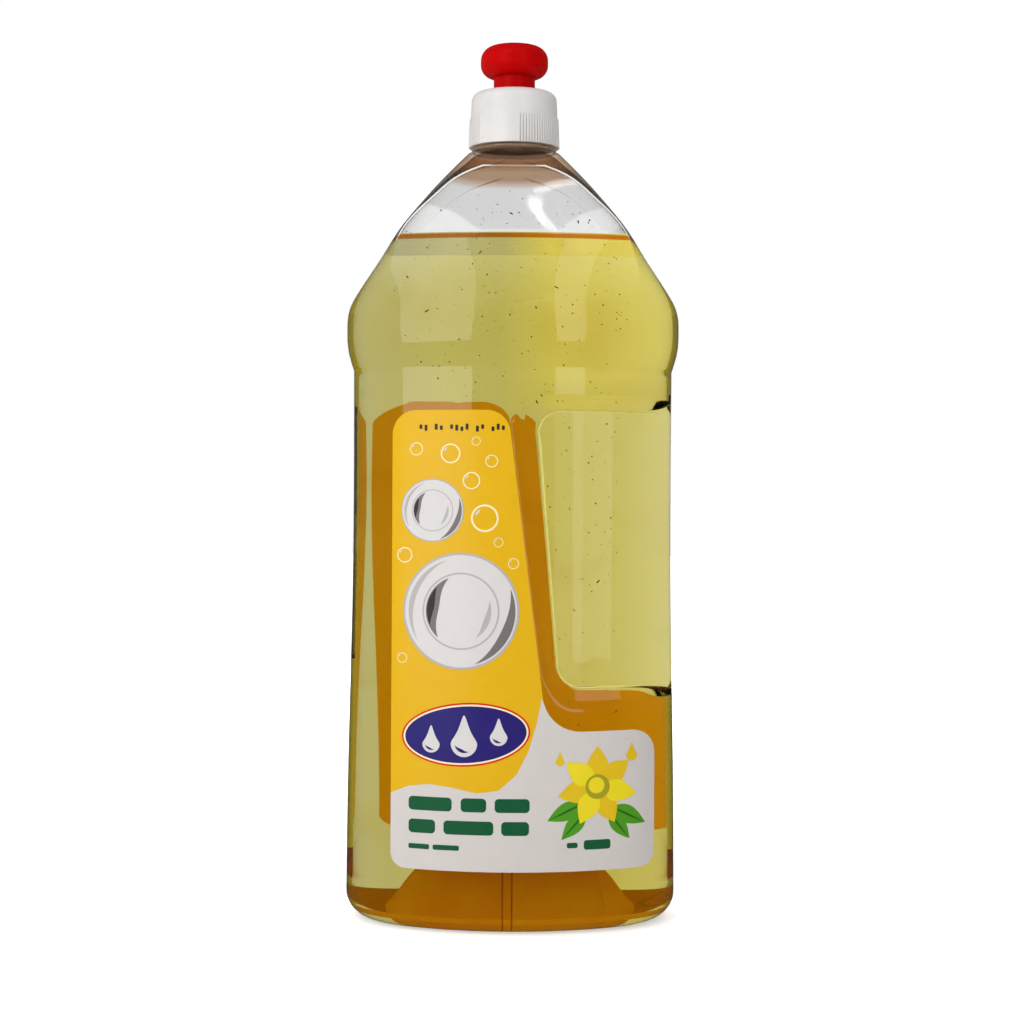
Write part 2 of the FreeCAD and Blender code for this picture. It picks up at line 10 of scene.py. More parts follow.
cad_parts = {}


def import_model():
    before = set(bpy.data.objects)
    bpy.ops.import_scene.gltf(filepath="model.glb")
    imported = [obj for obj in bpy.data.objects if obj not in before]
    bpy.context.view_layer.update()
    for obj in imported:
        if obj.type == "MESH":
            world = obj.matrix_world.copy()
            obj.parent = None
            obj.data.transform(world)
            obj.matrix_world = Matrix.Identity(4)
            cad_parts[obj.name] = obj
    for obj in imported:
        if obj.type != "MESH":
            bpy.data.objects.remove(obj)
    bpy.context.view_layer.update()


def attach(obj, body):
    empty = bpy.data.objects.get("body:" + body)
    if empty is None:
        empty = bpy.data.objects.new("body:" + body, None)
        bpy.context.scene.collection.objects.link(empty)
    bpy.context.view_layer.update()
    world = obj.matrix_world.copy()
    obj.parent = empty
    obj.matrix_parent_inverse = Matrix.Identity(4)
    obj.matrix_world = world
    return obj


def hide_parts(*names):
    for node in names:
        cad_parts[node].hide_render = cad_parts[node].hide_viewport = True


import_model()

# Sizes in millimetres, as in the part's source; meshes are written in metres
MM = 0.001

# Sections of the body: height, half width, half depth
LOWER_SECTIONS = [(0, 57.4, 39.2), (54, 56.9, 38.8), (110, 55.7, 38), (189.6, 55.5, 37.8)]
BULGE_SECTIONS = [(189.6, 55.5, 37.8), (196.8, 57.5, 39.6), (204, 57.9, 40), (211, 57.1, 39)]
# Sections of the shoulder: height, half width, half depth, and the corner of the arch
SHOULDER_SECTIONS = [
    (217, 54, 36, 42, 25.5),
    (227.5, 47, 29.8, 41.6, 21),
    (238.7, 39.6, 25.2, 36.6, 20.4),
    (250, 30.5, 22.4, 25, 21.8),
    (258, 23.4, 20.6, 12.5, 20.3),
    (261.3, 20.2, 19.9, 2.4, 19.75),
]
NECK_ROOT = (266.1, 15.3, 15.3, 2, 15.17)
FRONT_RADIUS = 86
CREASE = 189.6
HEEL = 9
RIM_INSET = 14
PUSH_UP = [(14, 0), (30, 17)]
WALL = 0.6
SHOULDER_CALM = 0.8
RECESS_CALM = 0.5
NECK_RADIUS = 12.6
NECK_BORE = 10.8
NECK_TOP = 284
LEDGE_RADIUS = 14.7
LEDGE_THICKNESS = 1.4
SOAP_LEVEL = 235.2

# Grip recess
GRIP_LOW, GRIP_HIGH = 82, 175
GRIP_EDGE_LOW, GRIP_EDGE_HIGH = 15.5, 8.6
GRIP_DEPTH = 6.5
GRIP_RELIEF = 0.5
GRIP_CORNER = 8
GRIP_WALL_LEFT_LOW, GRIP_WALL_LEFT_HIGH = 4.8, 10.6
GRIP_WALL_TOP, GRIP_WALL_FOOT = 5, 7

# How far the pull of the grip on the surface reaches past its ends, and how softly it fades
GRIP_REACH, GRIP_FADE = 12, 10

SIDE_STEPS = 44
NECK_WALL = 1.9
SOAP_INSET = 0.14

# Printed film: how far it stands off the bottle, and each further layer off the last
FILM_LIFT, LAYER_LIFT = 0.16, 0.03
STRIP_WIDE, STRIP_TALL = 1.5, 8

# Small details: the thread on the neck, the plain ring on the shoulder, the specks
THREAD_FOOT, THREAD_RISE, THREAD_TURNS = 273.2, 4.23, 1.5
RING_MIDDLE, RING_WIDE, RING_TALL = (0.6, 214), 7, 6.6
SPECK_COUNT, SPECK_DEPTH = 420, 0.04


def natural_spline(xs, ys):
    """A smooth curve through points, as a function."""
    n = len(xs)
    gaps = [b - a for a, b in zip(xs, xs[1:])]
    rises = [(b - a) / gap for a, b, gap in zip(ys, ys[1:], gaps)]
    bends, factors, rests = [0.0] * n, [0.0] * n, [0.0] * n
    for i in range(1, n - 1):
        pivot = 2 * (gaps[i - 1] + gaps[i]) - gaps[i - 1] * factors[i - 1]
        factors[i] = gaps[i] / pivot
        rests[i] = (6 * (rises[i] - rises[i - 1]) - gaps[i - 1] * rests[i - 1]) / pivot
    for i in range(n - 2, 0, -1):
        bends[i] = rests[i] - factors[i] * bends[i + 1]

    def curve(x):
        i = min(max(bisect.bisect_right(xs, x) - 1, 0), n - 2)
        a, b = (xs[i + 1] - x) / gaps[i], (x - xs[i]) / gaps[i]
        lift = (a**3 - a) * bends[i] + (b**3 - b) * bends[i + 1]
        return a * ys[i] + b * ys[i + 1] + lift * gaps[i] ** 2 / 6
    return curve


def tangent_corner(width, depth, big):
    """Where the front arc of a body section runs into its side arc."""
    small = (big**2 - width**2 - (big - depth) ** 2) / (2 * (big - width))
    share = 1 / (big - small)
    return big * (width - small) * share, (big - depth) * small * share


def columns_of(sections):
    """One spline for each number of the sections against their height."""
    heights = [section[0] for section in sections]
    return [natural_spline(heights, [section[i] for section in sections]) for i in range(1, len(sections[0]))]


LOWER = columns_of(LOWER_SECTIONS)
BULGE = [(z, w, d, *tangent_corner(w, d, FRONT_RADIUS)) for z, w, d in BULGE_SECTIONS]
UPPER = columns_of(BULGE + SHOULDER_SECTIONS)
CROWN = SHOULDER_SECTIONS[-1][0]


def section_at(z, inset=0.0):
    """Half width, half depth and corner of the outline at a height."""
    if z <= CREASE:
        width, depth = (curve(max(z, 0)) - inset for curve in LOWER)
        return width, depth, *tangent_corner(width, depth, FRONT_RADIUS - inset)
    if z <= CROWN:
        return tuple(curve(z) for curve in UPPER)
    share = (z - CROWN) / (NECK_ROOT[0] - CROWN)
    return tuple(a + (b - a) * share for a, b in zip(SHOULDER_SECTIONS[-1][1:], NECK_ROOT[1:]))


def front_shares():
    """Shares of a front arc, close together beside the grip's edge and at both ends."""
    half = 43
    at_ends, at_grip, elsewhere = 0.55, 0.6, 1.3
    marks = [-half]
    while marks[-1] < half:
        x = marks[-1]
        step = at_ends if half - abs(x) < 2.4 else at_grip if -5 < x < 23 else elsewhere
        marks.append(x + step)
    marks[-1] = half
    return [(x + half) / (2 * half) for x in marks]


def side_shares():
    """Shares of a side arc, closer together at both ends."""
    evens = [k / SIDE_STEPS for k in range(SIDE_STEPS + 1)]
    return [0.45 * even + 0.55 * (1 - cos(pi * even)) / 2 for even in evens]


FRONT_SHARES = front_shares()
SIDE_SHARES = side_shares()


def arc(start, middle, end, shares):
    """Points at given shares of the arc from start through middle to end."""
    ax, ay = middle[0] - start[0], middle[1] - start[1]
    bx, by = end[0] - start[0], end[1] - start[1]
    twice = 2 * (ax * by - ay * bx)
    a2, b2 = ax * ax + ay * ay, bx * bx + by * by
    cx, cy = start[0] + (by * a2 - ay * b2) / twice, start[1] + (ax * b2 - bx * a2) / twice
    radius = hypot(start[0] - cx, start[1] - cy)
    first = atan2(start[1] - cy, start[0] - cx)
    last = atan2(end[1] - cy, end[0] - cx)
    while last <= first:
        last += tau
    angles = [first + (last - first) * share for share in shares]
    return [(cx + radius * cos(angle), cy + radius * sin(angle)) for angle in angles]


def outline(z, inset=0.0):
    """The outline at a height, from the left front corner round by the front."""
    w, d, x, y = section_at(z, inset)
    front = arc((-x, -y), (0, -d), (x, -y), FRONT_SHARES)
    right = arc((x, -y), (w, 0), (x, y), SIDE_SHARES)[:-1]
    back = [(x, -y) for x, y in reversed(front)][:-1]
    left = [(-x, -y) for x, y in right]
    return front[:-1] + right + back + left


def smooth(t):
    """A soft step from 0 to 1."""
    t = min(max(t, 0.0), 1.0)
    return t * t * (3 - 2 * t)


def depth_of(x, w, d):
    """How far a section of half width w and half depth d stands from the middle plane at x."""
    cx, cy = tangent_corner(w, d, FRONT_RADIUS)
    if abs(x) <= cx:
        return d - FRONT_RADIUS + sqrt(FRONT_RADIUS**2 - x**2)
    small = (cy**2 + (w - cx) ** 2) / (2 * (w - cx))
    return sqrt(max(small**2 - (abs(x) - w + small) ** 2, 0))


def face_depth(x, z):
    """How far the body's front stands from the middle plane."""
    w, d = (curve(z) for curve in LOWER)
    return depth_of(x, w, d)


def grip_floor(x, z):
    """How far the grip's floor stands from the middle plane."""
    w, d = (curve(z) for curve in LOWER)
    return depth_of(x, w + GRIP_RELIEF, d - GRIP_DEPTH)


def up_the_grip(z, low, high):
    """A size that changes evenly from the grip's foot to its top."""
    share = min(max((z - GRIP_LOW) / (GRIP_HIGH - GRIP_LOW), 0), 1)
    return low + (high - low) * share


def grip_edge(z):
    """Where the grip's floor begins, from the middle to the right."""
    return up_the_grip(z, GRIP_EDGE_LOW, GRIP_EDGE_HIGH)


def soft_ramp(t, start, end):
    """A straight climb from 0 to 1 with a round foot and a round head."""
    slope = 1 / (1 - (start + end) / 2)
    if t <= 0:
        return 0.0
    if t < start:
        return slope * t * t / (2 * start)
    if t < 1 - end:
        return slope * (t - start / 2)
    return 1 - slope * (1 - t) ** 2 / (2 * end) if t < 1 else 1.0


def grip_kept(x, z):
    """How much of the body's depth is kept: none on the grip's floor."""
    across = max(grip_edge(z) + GRIP_CORNER - x, 0)
    over = max(z - GRIP_HIGH + GRIP_CORNER, 0)
    under = max(GRIP_LOW + GRIP_CORNER - z, 0)
    up, wall_up = (over, GRIP_WALL_TOP) if over else (under, GRIP_WALL_FOOT)
    far = hypot(across, up)
    if far <= GRIP_CORNER:
        return 0.0
    wall_left = up_the_grip(z, GRIP_WALL_LEFT_LOW, GRIP_WALL_LEFT_HIGH)
    width = (across**2 * wall_left + up**2 * wall_up) / far**2
    return soft_ramp((far - GRIP_CORNER) / width, 0.16, 0.3)


def with_grip(x, y, z):
    """A point moved along the grip's slanted edge, and in where the grip is."""
    if not GRIP_LOW - GRIP_REACH < z < GRIP_HIGH + GRIP_REACH or abs(y) < 8:
        return x, y
    lean = grip_edge(z) - (GRIP_EDGE_LOW + GRIP_EDGE_HIGH) / 2
    fade = 1 - smooth(abs(x - 10) / 26)
    above_foot = smooth((z - GRIP_LOW + GRIP_REACH) / GRIP_FADE)
    below_top = smooth((GRIP_HIGH + GRIP_REACH - z) / GRIP_FADE)
    ends = above_foot * below_top
    moved = x + lean * fade * ends
    depth_there = face_depth(moved, z)
    if fade > 0:
        x, y = moved, copysign(depth_there, y)
    floor = grip_floor(max(x, 0), z)
    depth = abs(y) - floor
    if x < 0 or depth <= 0:
        return x, y
    return x, copysign(floor + depth * grip_kept(x, z), y)


def spread(start, stop, step):
    """Even heights from start up to, but without, stop."""
    count = max(round((stop - start) / step), 1)
    return [start + (stop - start) * i / count for i in range(count)]


def body_heights():
    """Rows of the body above its heel, closer where the form turns."""
    rows = spread(HEEL, 73, 3.2) + spread(73, 91, 0.75) + spread(91, 166, 3) + spread(166, 182, 0.75)
    rows += spread(182, 188.6, 1.3) + spread(188.6, 190.6, 0.5) + spread(190.6, 214, 1.3)
    rows += spread(214, 256, 1.5) + spread(256, 260.8, 0.8) + spread(260.8, 262, 0.4)
    return rows + spread(262, NECK_ROOT[0], 0.9)


def heel_rows():
    """Insets and heights round the heel, from the standing ring up to the body."""
    angles = [radians(90 * i / 12) for i in range(12)]
    return [(HEEL * (1 - sin(angle)), HEEL * (1 - cos(angle))) for angle in angles]


def scaled(points, factor):
    """Points drawn in towards the middle."""
    return [(x * factor, y * factor) for x, y in points]


def base_rows(lift=0.0):
    """Rings from the middle of the push-up to the standing ring."""
    inner_inset, top = PUSH_UP[-1]
    middle = outline(0, inner_inset)
    rows = [([(0.0, 0.0)] * len(middle), top + 0.5 + lift)]
    rows += [(scaled(middle, share), top + 0.5 * (1 - share**2) + lift) for share in (0.2, 0.4, 0.6, 0.8)]
    steps = 14
    for i in range(steps + 1):
        share = i / steps
        inset = inner_inset + (RIM_INSET - inner_inset) * share
        rows.append((outline(0, inset), top * (1 - smooth(share) ** 0.8) + lift))
    return rows


def body_rings():
    """Every ring of the outside from the middle of the foot to the neck root."""
    rings = [[(x, y, z) for x, y in points] for points, z in base_rows()]
    rings += [[(x, y, z) for x, y in outline(0, inset)] for inset, z in heel_rows()]
    for z in body_heights():
        rings.append([(*with_grip(x, y, z), z) for x, y in outline(z)])
    return rings


def round_ring(radius, z):
    """A round ring whose points follow the outline's columns."""
    top = outline(NECK_ROOT[0])
    return [(radius * x / hypot(x, y), radius * y / hypot(x, y), z) for x, y in top]


def placed(name, data, materials=()):
    """An object in the scene from a mesh, a lamp or a camera."""
    for finish in materials:
        data.materials.append(finish)
    thing = bpy.data.objects.new(name, data)
    bpy.context.scene.collection.objects.link(thing)
    return thing


def mesh_object(name, vertices, faces, materials, smooth_shaded=True):
    """An object from points in millimetres."""
    mesh = bpy.data.meshes.new(name)
    mesh.from_pydata([(x * MM, y * MM, z * MM) for x, y, z in vertices], [], faces)
    mesh.polygons.foreach_set("use_smooth", [smooth_shaded] * len(mesh.polygons))
    mesh.update()
    return placed(name, mesh, materials)


def skin(rings, first_pole=False, last_pole=False):
    """Faces between rings of equal length; a pole ring collapses to one point."""
    count = len(rings[0])
    vertices = [point for ring in rings for point in ring]
    faces = []
    for i in range(len(rings) - 1):
        for j in range(count):
            k = (j + 1) % count
            a, b = i * count, (i + 1) * count
            if first_pole and i == 0:
                faces.append((a, b + k, b + j))
            elif last_pole and i == len(rings) - 2:
                faces.append((a + j, a + k, b))
            else:
                faces.append((a + j, a + k, b + k, b + j))
    return vertices, faces


def tidy(thing, sharp_angle=None):
    """Drop loose points, turn the faces outwards and mark sharp edges."""
    work = bmesh.new()
    work.from_mesh(thing.data)
    bmesh.ops.remove_doubles(work, verts=work.verts, dist=1e-7)
    bmesh.ops.delete(work, geom=[v for v in work.verts if not v.link_faces], context="VERTS")
    bmesh.ops.recalc_face_normals(work, faces=work.faces)
    if sharp_angle:
        for edge in work.edges:
            shared = len(edge.link_faces) == 2
            edge.smooth = not (shared and edge.calc_face_angle() > radians(sharp_angle))
    work.to_mesh(thing.data)
    work.free()
    return thing


# Materials
def material(name):
    """A new material with nothing in it but its output."""
    made = bpy.data.materials.new(name)
    made.use_nodes = True
    made.node_tree.nodes.clear()
    return made, Nodes(made.node_tree)


class Nodes:
    """Short ways to add and join nodes."""

    def __init__(self, tree, output="OutputMaterial"):
        self.tree = tree
        self.output = self.add(output)

    def add(self, kind, settings=None, **inputs):
        node = self.tree.nodes.new("ShaderNode" + kind)
        for key, setting in (settings or {}).items():
            setattr(node, key, setting)
        for key, given in inputs.items():
            self.feed(node.inputs[key.replace("_", " ")], given)
        return node

    def feed(self, socket, given):
        """Join a node or a socket, or set a plain value; None changes nothing."""
        if isinstance(given, bpy.types.Node):
            given = given.outputs[0]
        if isinstance(given, bpy.types.NodeSocket):
            self.tree.links.new(given, socket)
        elif given is not None:
            socket.default_value = given

    def maths(self, operation, a, b=None):
        node = self.add("Math", {"operation": operation})
        self.feed(node.inputs[0], a)
        self.feed(node.inputs[1], b)
        return node

    def times(self, a, b):
        return self.maths("MULTIPLY", a, b)

    def without(self, share):
        """What is left of 1."""
        return self.maths("SUBTRACT", 1.0, share)

    def flat_length(self, x, y):
        """How far a point is from the upright axis."""
        return self.maths("SQRT", self.maths("ADD", self.times(x, x), self.times(y, y)))

    def place(self):
        """Where a point is on the object, in metres."""
        return self.add("SeparateXYZ", Vector=self.add("TexCoord").outputs["Object"]).outputs

    def noise(self, scale, detail):
        where = self.add("TexCoord").outputs["Object"]
        return self.add("TexNoise", Vector=where, Scale=scale, Detail=detail, Roughness=0.5)

    def between(self, low, high, share, out_low=0.0, out_high=1.0):
        return self.add("MapRange", Value=share, From_Min=low, From_Max=high, To_Min=out_low, To_Max=out_high)

    def band(self, rise, fall, height, top=1.0):
        """A strip of heights, with a soft rise below and a soft fall above."""
        return self.times(self.between(*rise, height), self.between(*fall, height, top, 0.0))

    def blend(self, share, first, second):
        """One shader, and another in its place by a share."""
        mix = self.add("MixShader", Fac=share)
        self.feed(mix.inputs[1], first)
        self.feed(mix.inputs[2], second)
        return mix

    def mix_colour(self, share, a, b):
        """Two colours mixed; their sockets come after those for numbers and vectors."""
        node = self.add("Mix", {"data_type": "RGBA"}, Factor=share)
        self.feed(node.inputs[6], a)
        self.feed(node.inputs[7], b)
        return node.outputs[2]

    def finish(self, surface, volume=None):
        self.feed(self.output.inputs["Surface"], surface)
        self.feed(self.output.inputs["Volume"], volume)


def colour(red, green, blue):
    """A colour given as it looks on screen, 0 to 255."""
    def linear(c):
        c /= 255
        return c / 12.92 if c <= 0.04045 else ((c + 0.055) / 1.055) ** 2.4
    return (linear(red), linear(green), linear(blue), 1)


# Heights in metres where the clear plastic changes its look, most of them for painted shade and light; the
# first three rise and then fall
LEVEL_LINE = (0.2333, 0.2337), (0.2349, 0.2353)
NECK_SHADE = (0.2565, 0.2595), (0.265, 0.2662)
LEDGE_SHADE = (0.2655, 0.2662), (0.2672, 0.268)
DRY_FROM = (0.2355, 0.237)
EDGE_FADE = (0.2655, 0.2665)
LIT_FROM = (0.175, 0.19)
MIRROR_CHANGE = (0.196, 0.206)
# Places across the bottle in metres where the back wall turns yellower, with painted light, and where its
# left end is dimmer, with painted shade
RIGHT_PART = (-0.004, 0.012)
LEFT_END = (-0.034, -0.02)
# Shares of light that the wall passes, red green blue; the yellower share on the right of the back wall is
# painted light
WET, WET_LIT_RIGHT, WET_CLOUD = (0.99, 0.99, 0.985, 1), (1.0, 0.95, 0.6, 1), (0.9, 0.8, 0.45, 1)
ORANGE_LINE, BLACK = (0.84, 0.52, 0.22, 1), (0, 0, 0, 1)
DRY, SADDLE_SHADE, NECK_SHADE_COLOUR = (0.925, 0.925, 0.925, 1), (0.36, 0.29, 0.24, 1), (0.71, 0.58, 0.47, 1)
LEDGE_SHADE_COLOUR = (0.42, 0.27, 0.17, 1)


def clear_plastic(name, reflection=1.0, edge_shade=(96, 82, 66), inside=False):
    """A thin clear film: it passes what is behind it and shines more towards its edges; its tint carries
    painted shade and painted light.
    """
    made, net = material(name)
    ripple = net.add("Bump", Height=net.noise(55, 2), Strength=0.04, Distance=0.002)
    facing = net.add("LayerWeight", Blend=0.5, Normal=ripple).outputs["Facing"]
    # Painted shade: above the soap the wall turns darker and browner towards its edges, where it is seen
    # edge-on
    side, depth, height = net.place()
    above = net.between(*DRY_FROM, height)
    edge = net.times(net.maths("POWER", facing, 9), above)
    edge = net.times(edge, net.between(*EDGE_FADE, height, 1.0, 0.2))
    # The wall below the soap's level: painted light makes the back wall yellower on the right and leaves its
    # upper right clear, and painted shade darkens the rest of it, most at its left end
    behind = net.between(0.0, 0.01, depth)
    to_right = net.between(*RIGHT_PART, side)
    wet = net.mix_colour(net.times(to_right, behind), WET, WET_LIT_RIGHT)
    cloud = net.times(net.between(0.52, 0.72, net.noise(38, 2)), behind)
    wet = net.mix_colour(net.times(cloud, 0.6), wet, WET_CLOUD)
    lit = net.times(to_right, net.between(*LIT_FROM, height))
    lit = net.times(net.between(0, 1, lit, 0.82, 1.0), net.between(*LEFT_END, side, 0.88, 1.0))
    wet = net.mix_colour(net.times(behind, net.without(lit)), wet, BLACK)
    # Painted shade: an orange line on the front wall at the soap's level, where the soap's curved edge bends
    # the light
    line = net.times(net.band(*LEVEL_LINE, height), net.between(-0.001, 0.001, depth, 1.0, 0.0))
    wet = net.mix_colour(line, wet, ORANGE_LINE)
    # The dry wall above it, greyer, with painted shade on the hollow sides of the shoulder and round the neck
    clear = net.mix_colour(above, wet, DRY)
    saddle_shade = net.add("Attribute", {"attribute_name": "saddle_shade"}).outputs["Fac"]
    shaded = net.mix_colour(net.times(saddle_shade, 0.8), clear, SADDLE_SHADE)
    shaded = net.mix_colour(net.band(*NECK_SHADE, height), shaded, NECK_SHADE_COLOUR)
    tint = net.mix_colour(edge, shaded, colour(*edge_shade))
    through = net.add("BsdfTransparent", Color=tint)
    # What it mirrors
    shine = net.add("BsdfGlossy", Color=(1, 1, 1, 1), Roughness=0.07, Normal=ripple)
    face_on = net.between(*MIRROR_CHANGE, height, 0.014, 0.007)
    face_on = net.maths("ADD", face_on, net.times(above, 0.05))
    mirror = net.maths("ADD", face_on, net.times(net.maths("POWER", facing, 5), 0.6))
    inwards = net.add("NewGeometry").outputs["Backfacing"]
    only = above if inside else net.without(inwards)
    film = net.blend(net.times(mirror, net.times(only, reflection)), through, shine)
    # Painted shade: a brown matt band on the neck's ledge, under the cap
    body = net.add("BsdfDiffuse", Color=LEDGE_SHADE_COLOUR)
    net.finish(net.blend(net.band(*LEDGE_SHADE, height, 0.5), film, body))
    return made


def soap_liquid():
    """Clear yellow-green liquid that darkens with depth."""
    made, net = material("soap_liquid")
    shader = net.add("BsdfPrincipled", Roughness=0.0, IOR=1.36, Base_Color=(1, 1, 1, 1),
                       Transmission_Weight=1)
    depth = net.add("VolumeAbsorption", Color=(0.769, 0.705, 0.0, 1), Density=27.0)
    net.finish(shader, depth)
    return made


def darker(base, share):
    """A colour at a share of its brightness."""
    return (*(c * share for c in base[:3]), 1)


def moulded(name, base, roughness=0.32, grain=900.0, shine=0.5, through=0.0):
    """Moulded plastic with a fine grain and slightly uneven colour."""
    made, net = material(name)
    patches = net.between(0.35, 0.65, net.noise(60, 4))
    fleck = net.noise(grain, 2)
    rough = net.between(0.3, 0.7, fleck, roughness - 0.05, roughness + 0.07)
    bump = net.add("Bump", Height=fleck, Strength=0.12, Distance=0.0002)
    shader = net.add("BsdfPrincipled", Roughness=rough, Normal=bump, IOR=1.5,
                       Base_Color=net.mix_colour(patches, darker(base, 0.93), base),
                       Specular_IOR_Level=shine, Subsurface_Weight=through,
                       Subsurface_Radius=(0.0012, 0.001, 0.0009), Subsurface_Scale=1.0)
    net.finish(shader)
    return made


def ink(name, *shade):
    """One printed colour on film: a slight unevenness and a soft shine."""
    made, net = material(name)
    base = colour(*shade)
    paler = tuple(min(c * 1.06 + 0.006, 1) for c in base[:3]) + (1,)
    bump = net.add("Bump", Height=net.noise(300, 3), Strength=0.05, Distance=0.0003)
    shader = net.add("BsdfPrincipled", Roughness=0.34, Normal=bump, IOR=1.45,
                       Base_Color=net.mix_colour(net.noise(220, 3), base, paler),
                       Specular_IOR_Level=0.25, Coat_Weight=0.12, Coat_Roughness=0.15)
    net.finish(shader)
    return made


def see_through_ink(name, base, behind):
    """Printed film that also glows with the light from behind it."""
    made, net = material(name)
    face = net.add("BsdfDiffuse", Color=net.mix_colour(net.noise(90, 3), base, darker(base, 0.9)))
    glow = net.add("BsdfTranslucent", Color=behind)
    net.finish(net.blend(0.75, face, glow))
    return made


def base_painted_light():
    """A cloudy amber sheet of painted light, for the light bent through the soap in the base, with two dark
    lines at the middle seam.
    """
    made, net = material("base_painted_amber")
    side, _, _ = net.place()
    cloud = net.between(0.35, 0.7, net.noise(60, 3))
    base = net.mix_colour(cloud, (1.0, 0.5, 0.004, 1), (1.0, 0.6, 0.012, 1))
    seam_middle, seam_half = -0.0009, 0.0015
    from_middle = net.maths("ABSOLUTE", net.maths("SUBTRACT", side, seam_middle))
    from_line = net.maths("ABSOLUTE", net.maths("SUBTRACT", from_middle, seam_half))
    tone = net.mix_colour(net.between(0.0001, 0.0004, from_line), (0.5, 0.2, 0.003, 1), base)
    face = net.add("BsdfDiffuse", Color=tone)
    behind = net.add("BsdfTranslucent", Color=tone)
    net.finish(net.blend(0.5, face, behind))
    return made


PET = clear_plastic("clear_plastic")
PET_INSIDE = clear_plastic("clear_plastic_inside", reflection=0.6, edge_shade=(170, 160, 150), inside=True)
SOAP = soap_liquid()
CAP_WHITE = moulded("cap_white", colour(216, 213, 211), through=0.15)
KNOB_RED = moulded("knob_red", colour(184, 0, 1), roughness=0.38, shine=0.04)
SEAL_FOAM = moulded("seal_foam", colour(222, 220, 214), roughness=0.75, grain=2600)
YELLOW = ink("label_yellow", 216, 168, 0)
WHITE = ink("label_white", 200, 194, 190)
CHINA = ink("print_china", 206, 202, 200)
PALE = ink("print_pale", 236, 222, 176)
SILVER = ink("print_silver", 172, 168, 166)
STEEL = ink("print_steel", 112, 106, 104)
GRAPHITE = ink("print_graphite", 44, 36, 32)
BLUE = ink("print_blue", 34, 24, 108)
RED = ink("print_red", 206, 22, 20)
GREEN = ink("print_green", 8, 84, 48)
LEAF = ink("print_leaf", 72, 146, 20)
LEAF_DARK = ink("print_leaf_dark", 34, 98, 14)
LEMON = ink("print_lemon", 226, 206, 20)
AMBER = ink("print_amber", 216, 180, 8)
OLIVE = ink("print_olive", 158, 150, 20)
BASE_PAINTED_AMBER = base_painted_light()
# Painted highlights: the bright lines along the shoulder's arch and the recess's edge
GLINT = ink("arch_painted_highlight", 222, 218, 214)
GLINT_YELLOW = ink("recess_painted_highlight", 226, 212, 112)
SPECK = ink("speck", 70, 56, 14)
THROUGH_SOAP = (1.0, 0.6, 0.12, 1)
BACK_GREEN = see_through_ink("back_label_green", colour(8, 84, 48), THROUGH_SOAP)
BACK_GRAPHITE = see_through_ink("back_label_graphite", colour(44, 36, 32), THROUGH_SOAP)
BACK_WHITE = see_through_ink("back_label_white", colour(214, 209, 206), THROUGH_SOAP)
BACK_YELLOW = see_through_ink("back_label_yellow", colour(250, 190, 20), (1.0, 0.46, 0.005, 1))


# Bottle shell and soap
def in_saddle(x, y, z):
    """1 on the hollow sides of the shoulder outside the arch, 0 elsewhere: where the wall gets painted shade.
    """
    if z < SOAP_LEVEL - 4 or z > NECK_ROOT[0]:
        return 0.0
    _, _, corner_x, corner_y = section_at(z)
    beyond = min((abs(x) - corner_x) / 1.2, (corner_y - abs(y) + 1.5) / 1.2)
    return smooth(beyond) * smooth((z - SOAP_LEVEL + 4) / 6) * smooth((4 - y) / 12)


def ways_out(rings):
    """The way that the outside faces at each of its points."""
    body = tidy(mesh_object("outside_draft", *skin(rings, first_pole=True), []))
    ways = {tuple(round(c / MM, 3) for c in v.co): v.normal.copy() for v in body.data.vertices}
    bpy.data.objects.remove(body)
    return ways


def moved_in(rings, spare, inset_at):
    """Rings moved in by an inset that goes by height; spare is the way of a merged point."""
    ways = ways_out(rings)
    for ring in rings:
        row = []
        for x, y, z in ring:
            way = ways.get((round(x, 3), round(y, 3), round(z, 3)), spare)
            inset = inset_at(z)
            row.append((x - way.x * inset, y - way.y * inset, z - way.z * inset))
        yield row


def wall_at(z):
    """The thickness of the wall, which grows towards the neck."""
    return WALL + (NECK_WALL - WALL) * smooth((z - 252) / 14)


def bottle_shell():
    """The blown shell: outside, neck with its ledge, and the inner face; where soap wets the wall, the
    inner face does not show and is left out."""
    outside = body_rings()
    inside = list(moved_in(outside, Vector((0, 0, 1)), wall_at))
    low, high, top = NECK_ROOT[0], NECK_ROOT[0] + LEDGE_THICKNESS, NECK_TOP
    rim, wall, bore = LEDGE_RADIUS, NECK_RADIUS, NECK_BORE
    neck = [(rim - 0.9, low + 0.05), (rim - 0.25, low + 0.1), (rim, low + 0.4), (rim, high - 0.4),
            (rim - 0.3, high - 0.05), (wall + 0.4, high), (wall, high + 0.4), (wall, top - 0.3),
            (wall - 0.3, top), (bore + 0.3, top), (bore, top - 0.3), (bore, high), (bore, low)]
    bore_rings = 3
    rings = outside + [round_ring(radius, z) for radius, z in neck]
    rings += [ring for ring in reversed(inside) if SOAP_LEVEL - 6 < ring[0][2] < low - 2]
    vertices, faces = skin(rings, first_pole=True)
    shell = mesh_object("bottle_shell", vertices, faces, [PET, PET_INSIDE])
    saddle_shade = shell.data.attributes.new("saddle_shade", "FLOAT", "POINT")
    saddle_shade.data.foreach_set("value", [in_saddle(*point) for point in vertices])
    inner_from = (len(outside) + len(neck) - bore_rings) * len(outside[0])
    for polygon in shell.data.polygons:
        polygon.material_index = int(min(polygon.vertices) >= inner_from)
    return tidy(shell, 40)


